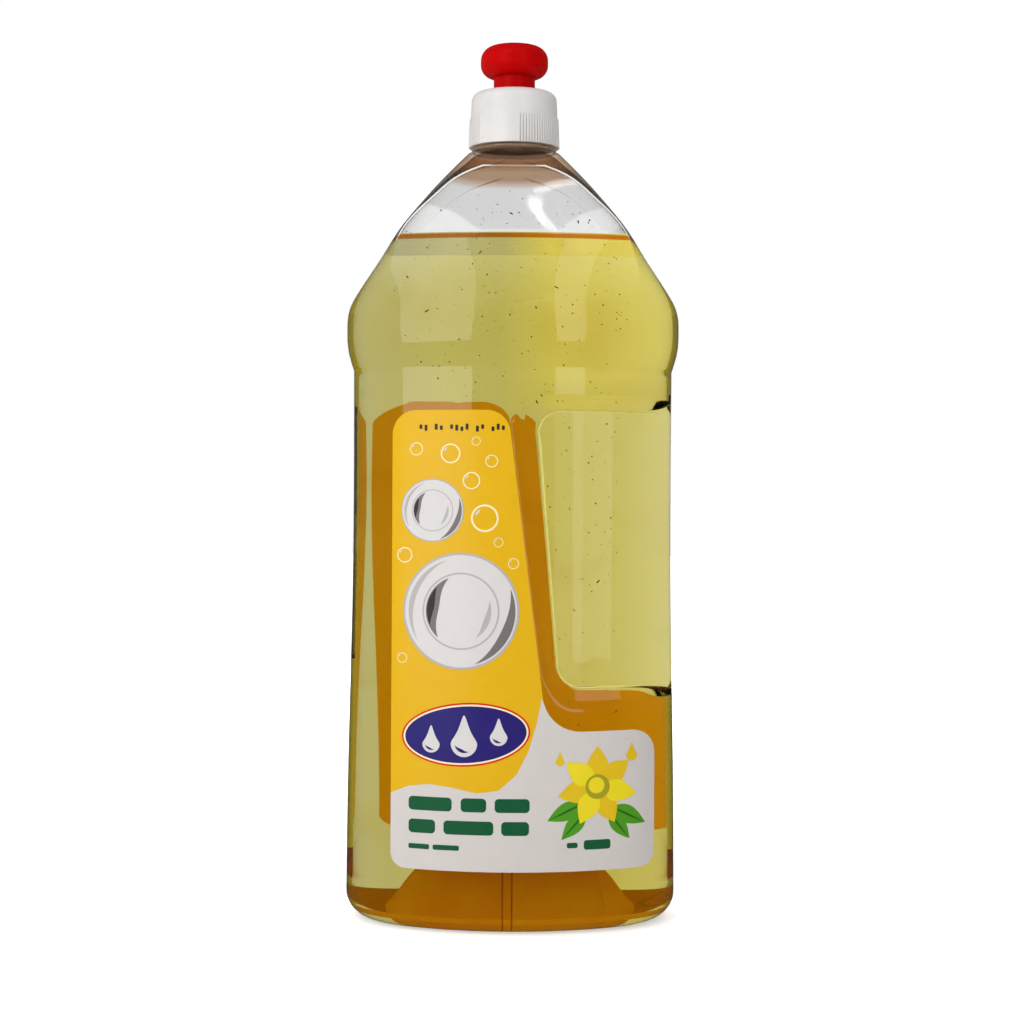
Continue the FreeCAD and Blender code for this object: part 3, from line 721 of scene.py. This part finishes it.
def calm_normals(mesh):
    """Shading normals that lean less on the shoulder and on the walls of the recess, so that the light
    is not led down through the whole bottle there."""
    foot, shoulder, over = 40, 198, 10
    normals = [corner.vector.copy() for corner in mesh.corner_normals]
    for polygon in mesh.polygons:
        height = polygon.center.z / MM
        if height < foot or (height > SOAP_LEVEL - 5 and polygon.normal.z > 0.9):
            continue
        for corner in polygon.loop_indices:
            x, y, z = mesh.vertices[mesh.loops[corner].vertex_index].co / MM
            normal = normals[corner]
            normal.z *= 1 - SHOULDER_CALM * smooth((z - shoulder) / over)
            if x > 4 and GRIP_LOW - 4 < z < GRIP_HIGH + 7 and abs(y) < face_depth(x, z) - 0.5:
                normal.y += copysign(RECESS_CALM, y)
                normal.z *= 0.5
            normal.normalize()
    mesh.normals_split_custom_set(normals)


def soap_fill():
    """The soap, almost out to the outside, because the thin wall does not show, and a little higher
    where it meets the wall."""
    rings = []
    for row in moved_in(body_rings(), Vector((0, 0, -1)), lambda z: SOAP_INSET):
        if row[0][2] > SOAP_LEVEL - 0.6:
            break
        rings.append(row)
    edge = outline(SOAP_LEVEL + 0.3)
    for inwards, rise in ((0.3, 0.3), (0.7, 0.2), (1.3, 0.06), (2.4, 0)):
        shares = [1 - inwards / hypot(x, y) for x, y in edge]
        rings.append([(x * kept, y * kept, SOAP_LEVEL + rise) for (x, y), kept in zip(edge, shares)])
    top = rings[-1]
    for share in (0.8, 0.6, 0.4, 0.2, 0.0):
        rings.append([(x * share, y * share, SOAP_LEVEL) for x, y, _ in top])
    fill = tidy(mesh_object("soap_fill", *skin(rings, first_pole=True, last_pole=True), [SOAP]))
    calm_normals(fill.data)
    return fill


# Label print
def rounded(corners):
    """Points of an outline whose corners are (x, z, radius)."""
    points = []
    for i, (x, z, radius) in enumerate(corners):
        here = Vector((x, z))
        back = (Vector(corners[i - 1][:2]) - here).normalized()
        ahead = (Vector(corners[(i + 1) % len(corners)][:2]) - here).normalized()
        half = acos(max(-1, min(1, back.dot(ahead)))) / 2
        centre = here + (back + ahead).normalized() * radius / sin(half)
        first = here + back * radius / tan(half) - centre
        last = here + ahead * radius / tan(half) - centre
        turn = atan2(first.x * last.y - first.y * last.x, first.dot(last))
        steps = max(int(abs(turn) / radians(9)), 2)
        start = atan2(first.y, first.x)
        for k in range(steps + 1):
            angle = start + turn * k / steps
            points.append((centre.x + radius * cos(angle), centre.y + radius * sin(angle)))
    return points


def turned(x, z, a, b, turn):
    """A point at a and b from x and z, in axes turned by an angle."""
    return x + a * cos(turn) - b * sin(turn), z + a * sin(turn) + b * cos(turn)


def ring_points(x, z, radius, tall=None, tilt=0.0, count=56):
    """Points of a circle or an ellipse on the label."""
    tall = tall or radius
    turn = radians(tilt)
    made = []
    for i in range(count):
        a, b = radius * cos(tau * i / count), tall * sin(tau * i / count)
        made.append(turned(x, z, a, b, turn))
    return made


def bar(x, z, long, high, radius=None):
    """A bar with round ends, from its left end's middle."""
    r = radius or high / 2 * 0.98
    low, top = z - high / 2, z + high / 2
    return rounded([(x, low, r), (x + long, low, r), (x + long, top, r), (x, top, r)])


def patch(points, level, side, material_index, work, holes):
    """A flat outline laid on the body at a height above it; holes are cut out of it."""
    start = bmesh.new()
    edges = []
    for loop in (points, *holes):
        corners = [start.verts.new((x, 0, z)) for x, z in loop]
        edges += [start.edges.new(pair) for pair in zip(corners, corners[1:] + corners[:1])]
    bmesh.ops.triangle_fill(start, use_beauty=True, edges=edges, normal=(0, -1, 0))
    for k, along, step in ((0, Vector((1, 0, 0)), STRIP_WIDE), (1, Vector((0, 0, 1)), STRIP_TALL)):
        reach = [point[k] for point in points]
        at = min(reach) // step * step
        while at < max(reach):
            geometry = start.verts[:] + start.edges[:] + start.faces[:]
            bmesh.ops.bisect_plane(start, geom=geometry, plane_co=along * at, plane_no=along, dist=1e-5)
            at += step
    index = {}
    near = 0.05
    for vertex in start.verts:
        x, z = vertex.co.x, vertex.co.z
        slope = (face_depth(x + near, z) - face_depth(x - near, z)) / (2 * near)
        normal = Vector((-slope, 1, 0)).normalized()
        px, py = x + normal.x * level, face_depth(x, z) + normal.y * level
        index[vertex] = work.verts.new((px * MM, (-py if side == "front" else py) * MM, z * MM))
    for face in start.faces:
        corners = [index[v] for v in face.verts]
        if side == "back":
            corners.reverse()
        made = work.faces.new(corners)
        made.material_index = material_index
        made.smooth = True
    start.free()


def label_outline(rise=0.0, shrink=0.0, left=-40.2):
    """The outline of a label, clear of the grip."""
    left, right, low = left + shrink, 48.7 - shrink, 21.5 + shrink
    notch, high = 68 - shrink, 175 - shrink
    corners = [(left, low, 5), (right, low, 5), (right, notch, 8), (12 - shrink, notch, 13),
               (-1.5 - shrink, high, 8), (left, high, 8)]
    return rounded([(x, z + rise, radius) for x, z, radius in corners])


def label(name, side, fields):
    """A printed film label; a field is its layer, outline, finish and any holes."""
    work = bmesh.new()
    materials = []
    for layer, points, finish, *holes in fields:
        if finish not in materials:
            materials.append(finish)
        patch(points, FILM_LIFT + LAYER_LIFT * layer, side, materials.index(finish), work, holes)
    mesh = bpy.data.meshes.new(name)
    work.to_mesh(mesh)
    work.free()
    return placed(name, mesh, materials)


def crescent(x, z, radius, start, stop, thick):
    """A sickle along part of a circle, thickest in its middle."""
    outer, inner = [], []
    steps = 28
    for i in range(steps + 1):
        angle = radians(start + (stop - start) * i / steps)
        deep = radius - thick * sin(pi * i / steps) - 0.02
        outer.append((x + radius * cos(angle), z + radius * sin(angle)))
        inner.append((x + deep * cos(angle), z + deep * sin(angle)))
    return outer + inner[::-1][1:-1]


def drop(x, z, radius, lean=0.0):
    """A drop with its point upwards."""
    points = []
    for i in range(40):
        angle = tau * i / 40
        stretch = 1 + 1.15 * max(sin(angle), 0) ** 3
        narrow = 1 - 0.55 * max(sin(angle), 0) ** 1.5
        px, pz = radius * cos(angle) * narrow, radius * sin(angle) * stretch
        points.append((x + px + lean * pz, z + pz))
    return points


def leaf(x, z, long, wide, turn):
    """A pointed leaf from its stalk end."""
    angle = radians(turn)
    points = []
    for side in (1, -1):
        shares = [i / 12 for i in range(13)]
        for share in shares if side == 1 else shares[::-1][1:-1]:
            u, v = long * share, side * wide * sin(pi * share ** 0.8) / 2
            points.append(turned(x, z, u, v, angle))
    return points


def plate(x, z, radius):
    """A washed plate seen from above, with a shaded rim and well."""
    fields = []
    for layer, share, finish in ((2, 1, SILVER), (3, 0.96, CHINA), (4, 0.66, SILVER), (5, 0.63, CHINA)):
        fields.append((layer, ring_points(x, z, radius * share), finish))
    for layer, share, start, stop, thick, finish in (
            (4, 0.93, -75, 25, 0.16, STEEL), (4, 0.9, 105, 215, 0.09, SILVER),
            (6, 0.6, 110, 230, 0.22, STEEL), (7, 0.58, 135, 205, 0.12, GRAPHITE),
            (6, 0.52, -60, 20, 0.1, SILVER)):
        fields.append((layer, crescent(x, z, radius * share, start, stop, radius * thick), finish))
    return fields


def bubble(x, z, radius):
    """A soap bubble: a pale ring with a gleam."""
    hole = ring_points(x, z, radius * 0.86, count=32)[::-1]
    return [(2, ring_points(x, z, radius, count=32), PALE, hole),
            (2, crescent(x, z, radius * 0.74, 115, 165, radius * 0.16), CHINA)]


def front_print():
    """The front: plates and bubbles on yellow, a plain badge, bars for text, a blossom."""
    fields = [(0, label_outline(), YELLOW)]
    edge = label_outline(shrink=0.02)
    wave = [(-40.18, 46.5), (-34, 49.2), (-27, 50.2), (-19, 49.2), (-11, 47.6),
            (-4, 48.6), (2, 54), (6, 62), (8.6, 71), (10.2, 79.2)]
    low = [point for point in edge if point[1] < 46 or (point[0] > 9.9 and point[1] < 79.2)]
    start = max(range(len(low)), key=lambda i: (low[i][0] < -40) * low[i][1])
    ordered = low[start:] + low[:start] if low[start][0] < -40 else low
    fields.append((1, ordered + wave[::-1], WHITE))
    fields += plate(-16.8, 108, 19.5)
    fields += plate(-26.5, 141.5, 10.6)
    for x, z, radius in ((-9, 139, 4.6), (-13.5, 151.5, 2.9), (-6.8, 158, 2.1), (-20.5, 160.5, 3.3),
                         (-32, 162, 2.2), (-35.8, 126.5, 2.6), (-4.4, 131, 1.6), (-36.5, 92, 1.7),
                         (0.6, 124, 1.8), (-12, 164.6, 1.5)):
        fields += bubble(x, z, radius)
    # Badge
    for layer, wide, tall, finish in ((2, 21.5, 10.6, RED), (3, 20.9, 10, PALE), (4, 20.3, 9.4, BLUE)):
        fields.append((layer, ring_points(-15, 67, wide, tall, 4), finish))
    for x, z, radius in ((-26.5, 63.6, 2.9), (-15.5, 64, 4.4), (-4, 66.4, 2.9)):
        fields.append((5, drop(x, z, radius), CHINA))
        fields.append((6, crescent(x, z, radius * 0.7, 190, 300, radius * 0.25), BLUE))
    # Bars for text
    for z, high, row in ((43.6, 4.6, ((-34, 14.5), (-16.5, 8.5), (-5.2, 11.6))),
                         (36, 4.6, ((-34, 9), (-22.2, 16.6), (-3, 9.2))),
                         (29.2, 1.7, ((-34, 7), (-25.8, 8.8)))):
        for x, long in row:
            fields.append((2, bar(x, z, long, high, high * 0.3), GREEN))
    fields += [(2, bar(24.5, 30.2, 9, 3.2, 0.9), GREEN), (2, bar(18.8, 30.2, 3.6, 1.8, 0.6), GREEN)]
    # Blossom
    for x, z, long, wide, turn in ((24, 44, 13, 6, 205), (25, 41, 12, 5.4, 228),
                                   (34, 42.5, 13, 6, -28), (33, 40.5, 11.5, 5, -52)):
        fields.append((2, leaf(x, z, long, wide, turn), LEAF))
        fields.append((3, leaf(x, z, long * 0.96, wide * 0.12, turn), LEAF_DARK))
    petals = 7
    for i in range(petals):
        turn = 90 + i * 360 / petals
        x, z = turned(29, 49.5, 1.5, 0, radians(turn))
        fields.append((4 + i % 2, leaf(x, z, 12, 7.4, turn), LEMON if i % 2 else AMBER))
    fields += [(6, ring_points(29, 49.5, 4.1), OLIVE), (7, ring_points(28.6, 50, 2.7), LEMON),
               (4, drop(40.6, 59.6, 1.9), AMBER), (4, drop(16.4, 58.2, 1.5), AMBER)]
    # A row of small marks at the top
    for i in range(17):
        if i not in (2, 5, 10, 13):
            mark = bar(-31 + i * 1.72, 169.4 - 0.35 * (i % 3), 0.95, 1.5 + 0.5 * (i % 2), 0.25)
            fields.append((2, mark, GRAPHITE))
    return fields


def back_print():
    """The back: a white panel with rows of bars, and a plain round sign."""
    fields = [(0, label_outline(5, left=-35), BACK_YELLOW)]
    fields.append((1, bar(-31, 117, 15.5, 84, 2), BACK_WHITE))
    for i in range(19):
        long = 12.5 - 2.6 * ((i * 7) % 5 == 0) - 1.6 * (i % 3 == 1)
        high, finish = (1.35, BACK_GRAPHITE) if i % 6 else (2.3, BACK_GREEN)
        fields.append((2, bar(-29.6, 155 - i * 4.1, long, high, 0.4), finish))
    fields += [(1, bar(-31, 54, 26, 30, 3), BACK_WHITE), (2, ring_points(-18, 55, 10), BACK_GREEN),
               (3, ring_points(-18, 55, 8.9), BACK_WHITE), (4, drop(-18, 53, 4.4), BACK_GREEN)]
    return fields


# Small details on the shell
def swept(name, path, profile, finish):
    """A ridge: a small profile carried along a path; it runs out to nothing at both ends."""
    run_out, sunk, thin_end = 6, 0.05, 0.4
    vertices, faces = [], []
    count = len(profile)
    for i, (point, outward, upward) in enumerate(path):
        fade = min(i, len(path) - 1 - i, run_out) / run_out
        wide = thin_end + (1 - thin_end) * fade
        for out, up in profile:
            vertices.append(tuple(point + outward * (out * fade - sunk) + upward * up * wide))
    for i in range(len(path) - 1):
        for j in range(count - 1):
            a = i * count + j
            faces.append((a, a + 1, a + 1 + count, a + count))
    return tidy(mesh_object(name, vertices, faces, [finish]))


def base_glow():
    """The amber look of the base, painted light: a sheet just above the push-up and the back of the heel."""
    lift = WALL + 0.5
    rows = [[(x, y, z) for x, y in points] for points, z in base_rows(lift=lift)]
    rows += [[(x, y, z + lift) for x, y in outline(0, inset + lift)] for inset, z in heel_rows() if z < 5]
    sheet = mesh_object("base_glow", *skin(rows, first_pole=True), [BASE_PAINTED_AMBER])
    work = bmesh.new()
    work.from_mesh(sheet.data)
    middles = {face: face.calc_center_median() / MM for face in work.faces}
    front_ring = [face for face, middle in middles.items() if middle.y < 0 and middle.z < 4]
    bmesh.ops.delete(work, geom=front_ring, context="FACES")
    work.to_mesh(sheet.data)
    work.free()
    return sheet


def neck_thread():
    """The screw thread on the neck, one and a half turns."""
    path = []
    steps = 150
    for i in range(steps + 1):
        turns = THREAD_TURNS * i / steps
        outward = Vector((cos(tau * turns), sin(tau * turns), 0))
        place = outward * NECK_RADIUS + Vector((0, 0, THREAD_FOOT + THREAD_RISE * turns))
        path.append((place, outward, Vector((0, 0, 1))))
    return swept("neck_thread", path, [(0, -1.1), (0.95, -0.5), (0.95, 0.4), (0, 0.9)], PET)


def front_arc(z):
    """The half depth of the outline at a height, and the radius of its front arc."""
    _, d, cx, cy = section_at(z)
    return d, (cx**2 + (d - cy) ** 2) / (2 * (d - cy))


def front_depth(x, z):
    """How far the front of the whole bottle, shoulder too, stands from the middle plane."""
    d, radius = front_arc(z)
    return d - radius + sqrt(radius**2 - x**2)


def front_point(x, z, out=0.0):
    """A point of the bottle's front and the way it faces."""
    step = 0.05
    slope_x = (front_depth(x + step, z) - front_depth(x - step, z)) / (2 * step)
    slope_z = (front_depth(x, z + step) - front_depth(x, z - step)) / (2 * step)
    normal = Vector((-slope_x, -1, -slope_z)).normalized()
    return Vector((x, -front_depth(x, z), z)) + normal * out, normal


def grip_line():
    """The fine line where the floor of the recess meets its wall, on the front: a small ridge with a painted
    highlight along it.
    """
    high, low, r = GRIP_HIGH, GRIP_LOW, GRIP_CORNER
    top_middle, foot_middle = grip_edge(high) + r, grip_edge(low) + r
    angles = spread(0, pi / 2, 0.15)
    spots = [(50 - 2 * i, high) for i in range(15) if 50 - 2 * i > top_middle]
    spots += [(top_middle - r * sin(t), high - r + r * cos(t)) for t in angles]
    spots += [(grip_edge(z), z) for z in spread(high - r - 2, low + r + 2, 2)]
    spots += [(foot_middle - r * cos(t), low + r - r * sin(t)) for t in angles]
    spots += [(foot_middle + 2 * i, low) for i in range(1, 14)]
    path = []
    for i, (x, z) in enumerate(spots):
        ahead, back = spots[min(i + 1, len(spots) - 1)], spots[max(i - 1, 0)]
        facing = Vector((x / FRONT_RADIUS, -1, 0)).normalized()
        tangent = Vector((ahead[0] - back[0], 0, ahead[1] - back[1]))
        path.append((Vector((x, -grip_floor(x, z), z)), facing, facing.cross(tangent).normalized()))
    return swept("grip_line", path, [(0, -0.3), (0.14, -0.12), (0.14, 0.12), (0, 0.3)], GLINT_YELLOW)


def shoulder_arch():
    """The fine edge where the front of the shoulder meets its hollow sides: a small ridge with a painted
    highlight along it.
    """
    upward_lean = 0.43
    corners = []
    for i in range(18):
        z = SOAP_LEVEL - 2 + 1.5 * i
        _, _, cx, cy = section_at(z)
        across = cx / front_arc(z)[1]
        facing = Vector((across, -sqrt(1 - across**2), upward_lean))
        corners.append((Vector((cx, -cy - 0.02, z)), facing.normalized()))
    mirror = Vector((-1, 1, 1))
    places = [(point * mirror, facing * mirror) for point, facing in corners] + corners[::-1]
    path = []
    for i, (point, facing) in enumerate(places):
        tangent = places[min(i + 1, len(places) - 1)][0] - places[max(i - 1, 0)][0]
        path.append((point, facing, facing.cross(tangent).normalized()))
    return swept("shoulder_arch", path, [(0, -0.32), (0.16, -0.14), (0.16, 0.14), (0, 0.32)], GLINT)


def shoulder_ring():
    """A plain raised ring on the front of the shoulder."""
    x, z = RING_MIDDLE
    middle, _ = front_point(x, z)
    steps = 72
    path = []
    for i in range(steps + 1):
        angle = tau * i / steps
        point, normal = front_point(x + RING_WIDE * cos(angle), z + RING_TALL * sin(angle))
        path.append((point, normal, (point - middle).normalized()))
    return swept("shoulder_ring", path, [(0, -0.8), (0.12, -0.4), (0.16, 0), (0.12, 0.4), (0, 0.8)], PET)


def specks():
    """Dust and tiny bubbles that cling to the wall: small flat flakes close to its outside."""
    chance = random.Random(7)
    vertices, faces = [], []
    while len(faces) < SPECK_COUNT:
        x, z = chance.uniform(-52, 52), chance.uniform(18, 252)
        on_label = -40 < x < 12 and z < 176 or (x < 49 and z < 70)
        if on_label or abs(x) > section_at(z)[2] - 0.5:
            continue
        point, normal = front_point(x, z, SPECK_DEPTH)
        if z < 184 and x > 5:
            fx, fy = with_grip(x, point.y, z)
            point = Vector((fx, fy - SPECK_DEPTH, z))
        across = normal.cross(Vector((0, 0, 1))).normalized()
        along = across.cross(normal)
        size = 0.1 + 0.22 * chance.random() ** 3
        turn = chance.uniform(0, pi)
        long = size * (1 if chance.random() < 0.7 else chance.uniform(1.5, 3.4))
        corners = 6
        for k in range(corners):
            angle = tau * k / corners
            u = long * cos(angle) * chance.uniform(0.8, 1.2)
            a, b = turned(0, 0, u, size * sin(angle), turn)
            vertices.append(tuple(point + across * a + along * b))
        faces.append(tuple(range(len(vertices) - corners, len(vertices))))
    return mesh_object("specks", vertices, faces, [SPECK], False)


# Pieces
shell = bottle_shell()
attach(shell, "bottle")
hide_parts("bottle")

for detail in (neck_thread(), grip_line(), shoulder_arch(), shoulder_ring(), specks(), base_glow()):
    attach(detail, "bottle")

soap = soap_fill()
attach(soap, "bottle")
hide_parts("soap")

front = label("front_label_print", "front", front_print())
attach(front, "bottle")
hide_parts("front_label")

back = label("back_label_print", "back", back_print())
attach(back, "bottle")
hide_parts("back_label")

for node, finish in (("cap", CAP_WHITE), ("pull_knob", KNOB_RED), ("cap_seal", SEAL_FOAM)):
    thing = bpy.data.objects[node]
    thing.data.materials.clear()
    thing.data.materials.append(finish)


# Surroundings
WHITE_BEHIND = 1.0
FLOOR_MIRRORED = 0.03
WORLD_MIRRORED = 0.06
WORLD_FILL = 0.45


def stage_material():
    """A pale floor that keeps the object's shadow and looks white to the camera."""
    made, net = material("stage_floor")
    paint = net.add("BsdfDiffuse", Color=(0.85, 0.85, 0.85, 1))
    x, y, _ = net.place()
    away = net.flat_length(x, y)
    white = (1, 1, 1, 1)
    glow = net.add("Emission", Color=white, Strength=net.between(0.08, 0.6, away, 0.45, 1.0))
    path = net.add("LightPath").outputs
    seen = net.maths("MAXIMUM", path["Is Camera Ray"], path["Is Transmission Ray"])
    seen = net.maths("MAXIMUM", seen, path["Is Glossy Ray"])
    none = net.add("Emission", Color=white, Strength=0.0)
    # Painted light: seen through the bottle, the floor under it is amber, as if lit by light through the soap
    amber = net.mix_colour(net.between(0.045, 0.075, away), (0.9, 0.45, 0.03, 1), white)
    under = net.add("Emission", Color=amber, Strength=WHITE_BEHIND)
    both = net.add("AddShader")
    net.feed(both.inputs[0], paint)
    net.feed(both.inputs[1], net.blend(seen, none, glow))
    dark = net.add("Emission", Color=white, Strength=FLOOR_MIRRORED)
    mirrored = net.blend(path["Is Glossy Ray"], both, dark)
    net.finish(net.blend(path["Is Transmission Ray"], mirrored, under))
    return made


def floor():
    """The ground under the object."""
    size = 4000
    corners = [(-size, -size, 0), (size, -size, 0), (size, size, 0), (-size, size, 0)]
    thing = mesh_object("floor", corners, [(0, 1, 2, 3)], [stage_material()], False)


def world():
    """White to the camera; seen through, dimmer at the sides and above; in mirrors, dark."""
    made = bpy.data.worlds.new("studio")
    bpy.context.scene.world = made
    made.use_nodes = True
    made.node_tree.nodes.clear()
    net = Nodes(made.node_tree, "OutputWorld")
    path = net.add("LightPath").outputs
    x, y, z = net.add("SeparateXYZ", Vector=net.add("TexCoord").outputs["Generated"]).outputs
    flat = net.maths("MAXIMUM", net.flat_length(x, y), 0.001)
    side = net.maths("DIVIDE", net.maths("ABSOLUTE", x), flat)
    sideways = net.between(0.86, 1.0, side, 1.0, 0.4)
    upwards = net.between(0.75, 1.0, net.maths("ABSOLUTE", z), 1.0, 0.7)
    seen_through = net.times(sideways, upwards)
    to_camera = net.times(path["Is Camera Ray"], WHITE_BEHIND - WORLD_FILL)
    strength = net.maths("ADD", WORLD_FILL, to_camera)
    through = path["Is Transmission Ray"]
    glossy = net.times(path["Is Glossy Ray"], net.without(through))
    for share, value in ((through, seen_through), (glossy, WORLD_MIRRORED)):
        others = net.times(strength, net.without(share))
        strength = net.maths("ADD", others, net.times(value, share))
    background = net.add("Background", Color=(1, 1, 1, 1), Strength=strength)
    net.finish(background)


def softbox(name, azimuth, distance, height, wide, tall, radiance, mirrored=True, lean=0):
    """A soft lamp that faces the bottle; azimuth 0 is the camera's side and grows to the right."""
    lamp = bpy.data.lights.new(name, "AREA")
    lamp.shape = "RECTANGLE"
    lamp.size, lamp.size_y = wide, tall
    lamp.energy = radiance * pi * wide * tall
    thing = placed(name, lamp)
    turn = radians(azimuth)
    where = Vector((sin(turn) * distance, -cos(turn) * distance, height))
    thing.location = where
    towards = (Vector((0, 0, 0.15)) - where).to_track_quat("-Z", "Y").to_matrix()
    thing.rotation_euler = (towards @ Matrix.Rotation(radians(lean), 3, "Z")).to_euler()
    thing.visible_camera = False
    thing.visible_transmission = False
    thing.visible_glossy = mirrored


softbox("softbox_left", -37, 1.1, 0.5, 0.76, 2.0, 2.1)
softbox("softbox_right", 27.5, 1.1, 0.5, 0.3, 2.0, 1.9)
softbox("softbox_side", -95, 1.0, 0.3, 0.9, 1.2, 1.0, mirrored=False)
softbox("softbox_top", 0, 0.35, 1.2, 0.9, 0.9, 0.5, mirrored=False)
softbox("backdrop_glow", 180, 1.0, 0.3, 1.8, 1.4, 2.4, mirrored=False)
softbox("softbox_strip", 11, 0.64, 0.726, 0.045, 0.24, 5.0, lean=-46)

# Camera: it stands level with the middle of the bottle, a little rolled as in the photograph
CAMERA_DISTANCE = 0.721
CAMERA_HEIGHT = 0.1484
LENS = 72.4
PITCH = radians(-0.61)
ROLL = radians(0.32)
lens = bpy.data.cameras.new("camera")
lens.lens = LENS
lens.sensor_width = 36
camera = placed("camera", lens)
camera.matrix_world = (Matrix.Translation((0, -CAMERA_DISTANCE, CAMERA_HEIGHT))
                       @ Matrix.Rotation(radians(90) + PITCH, 4, "X") @ Matrix.Rotation(ROLL, 4, "Z"))
bpy.context.scene.camera = camera
bpy.context.scene.view_settings.view_transform = "Standard"

floor()
world()
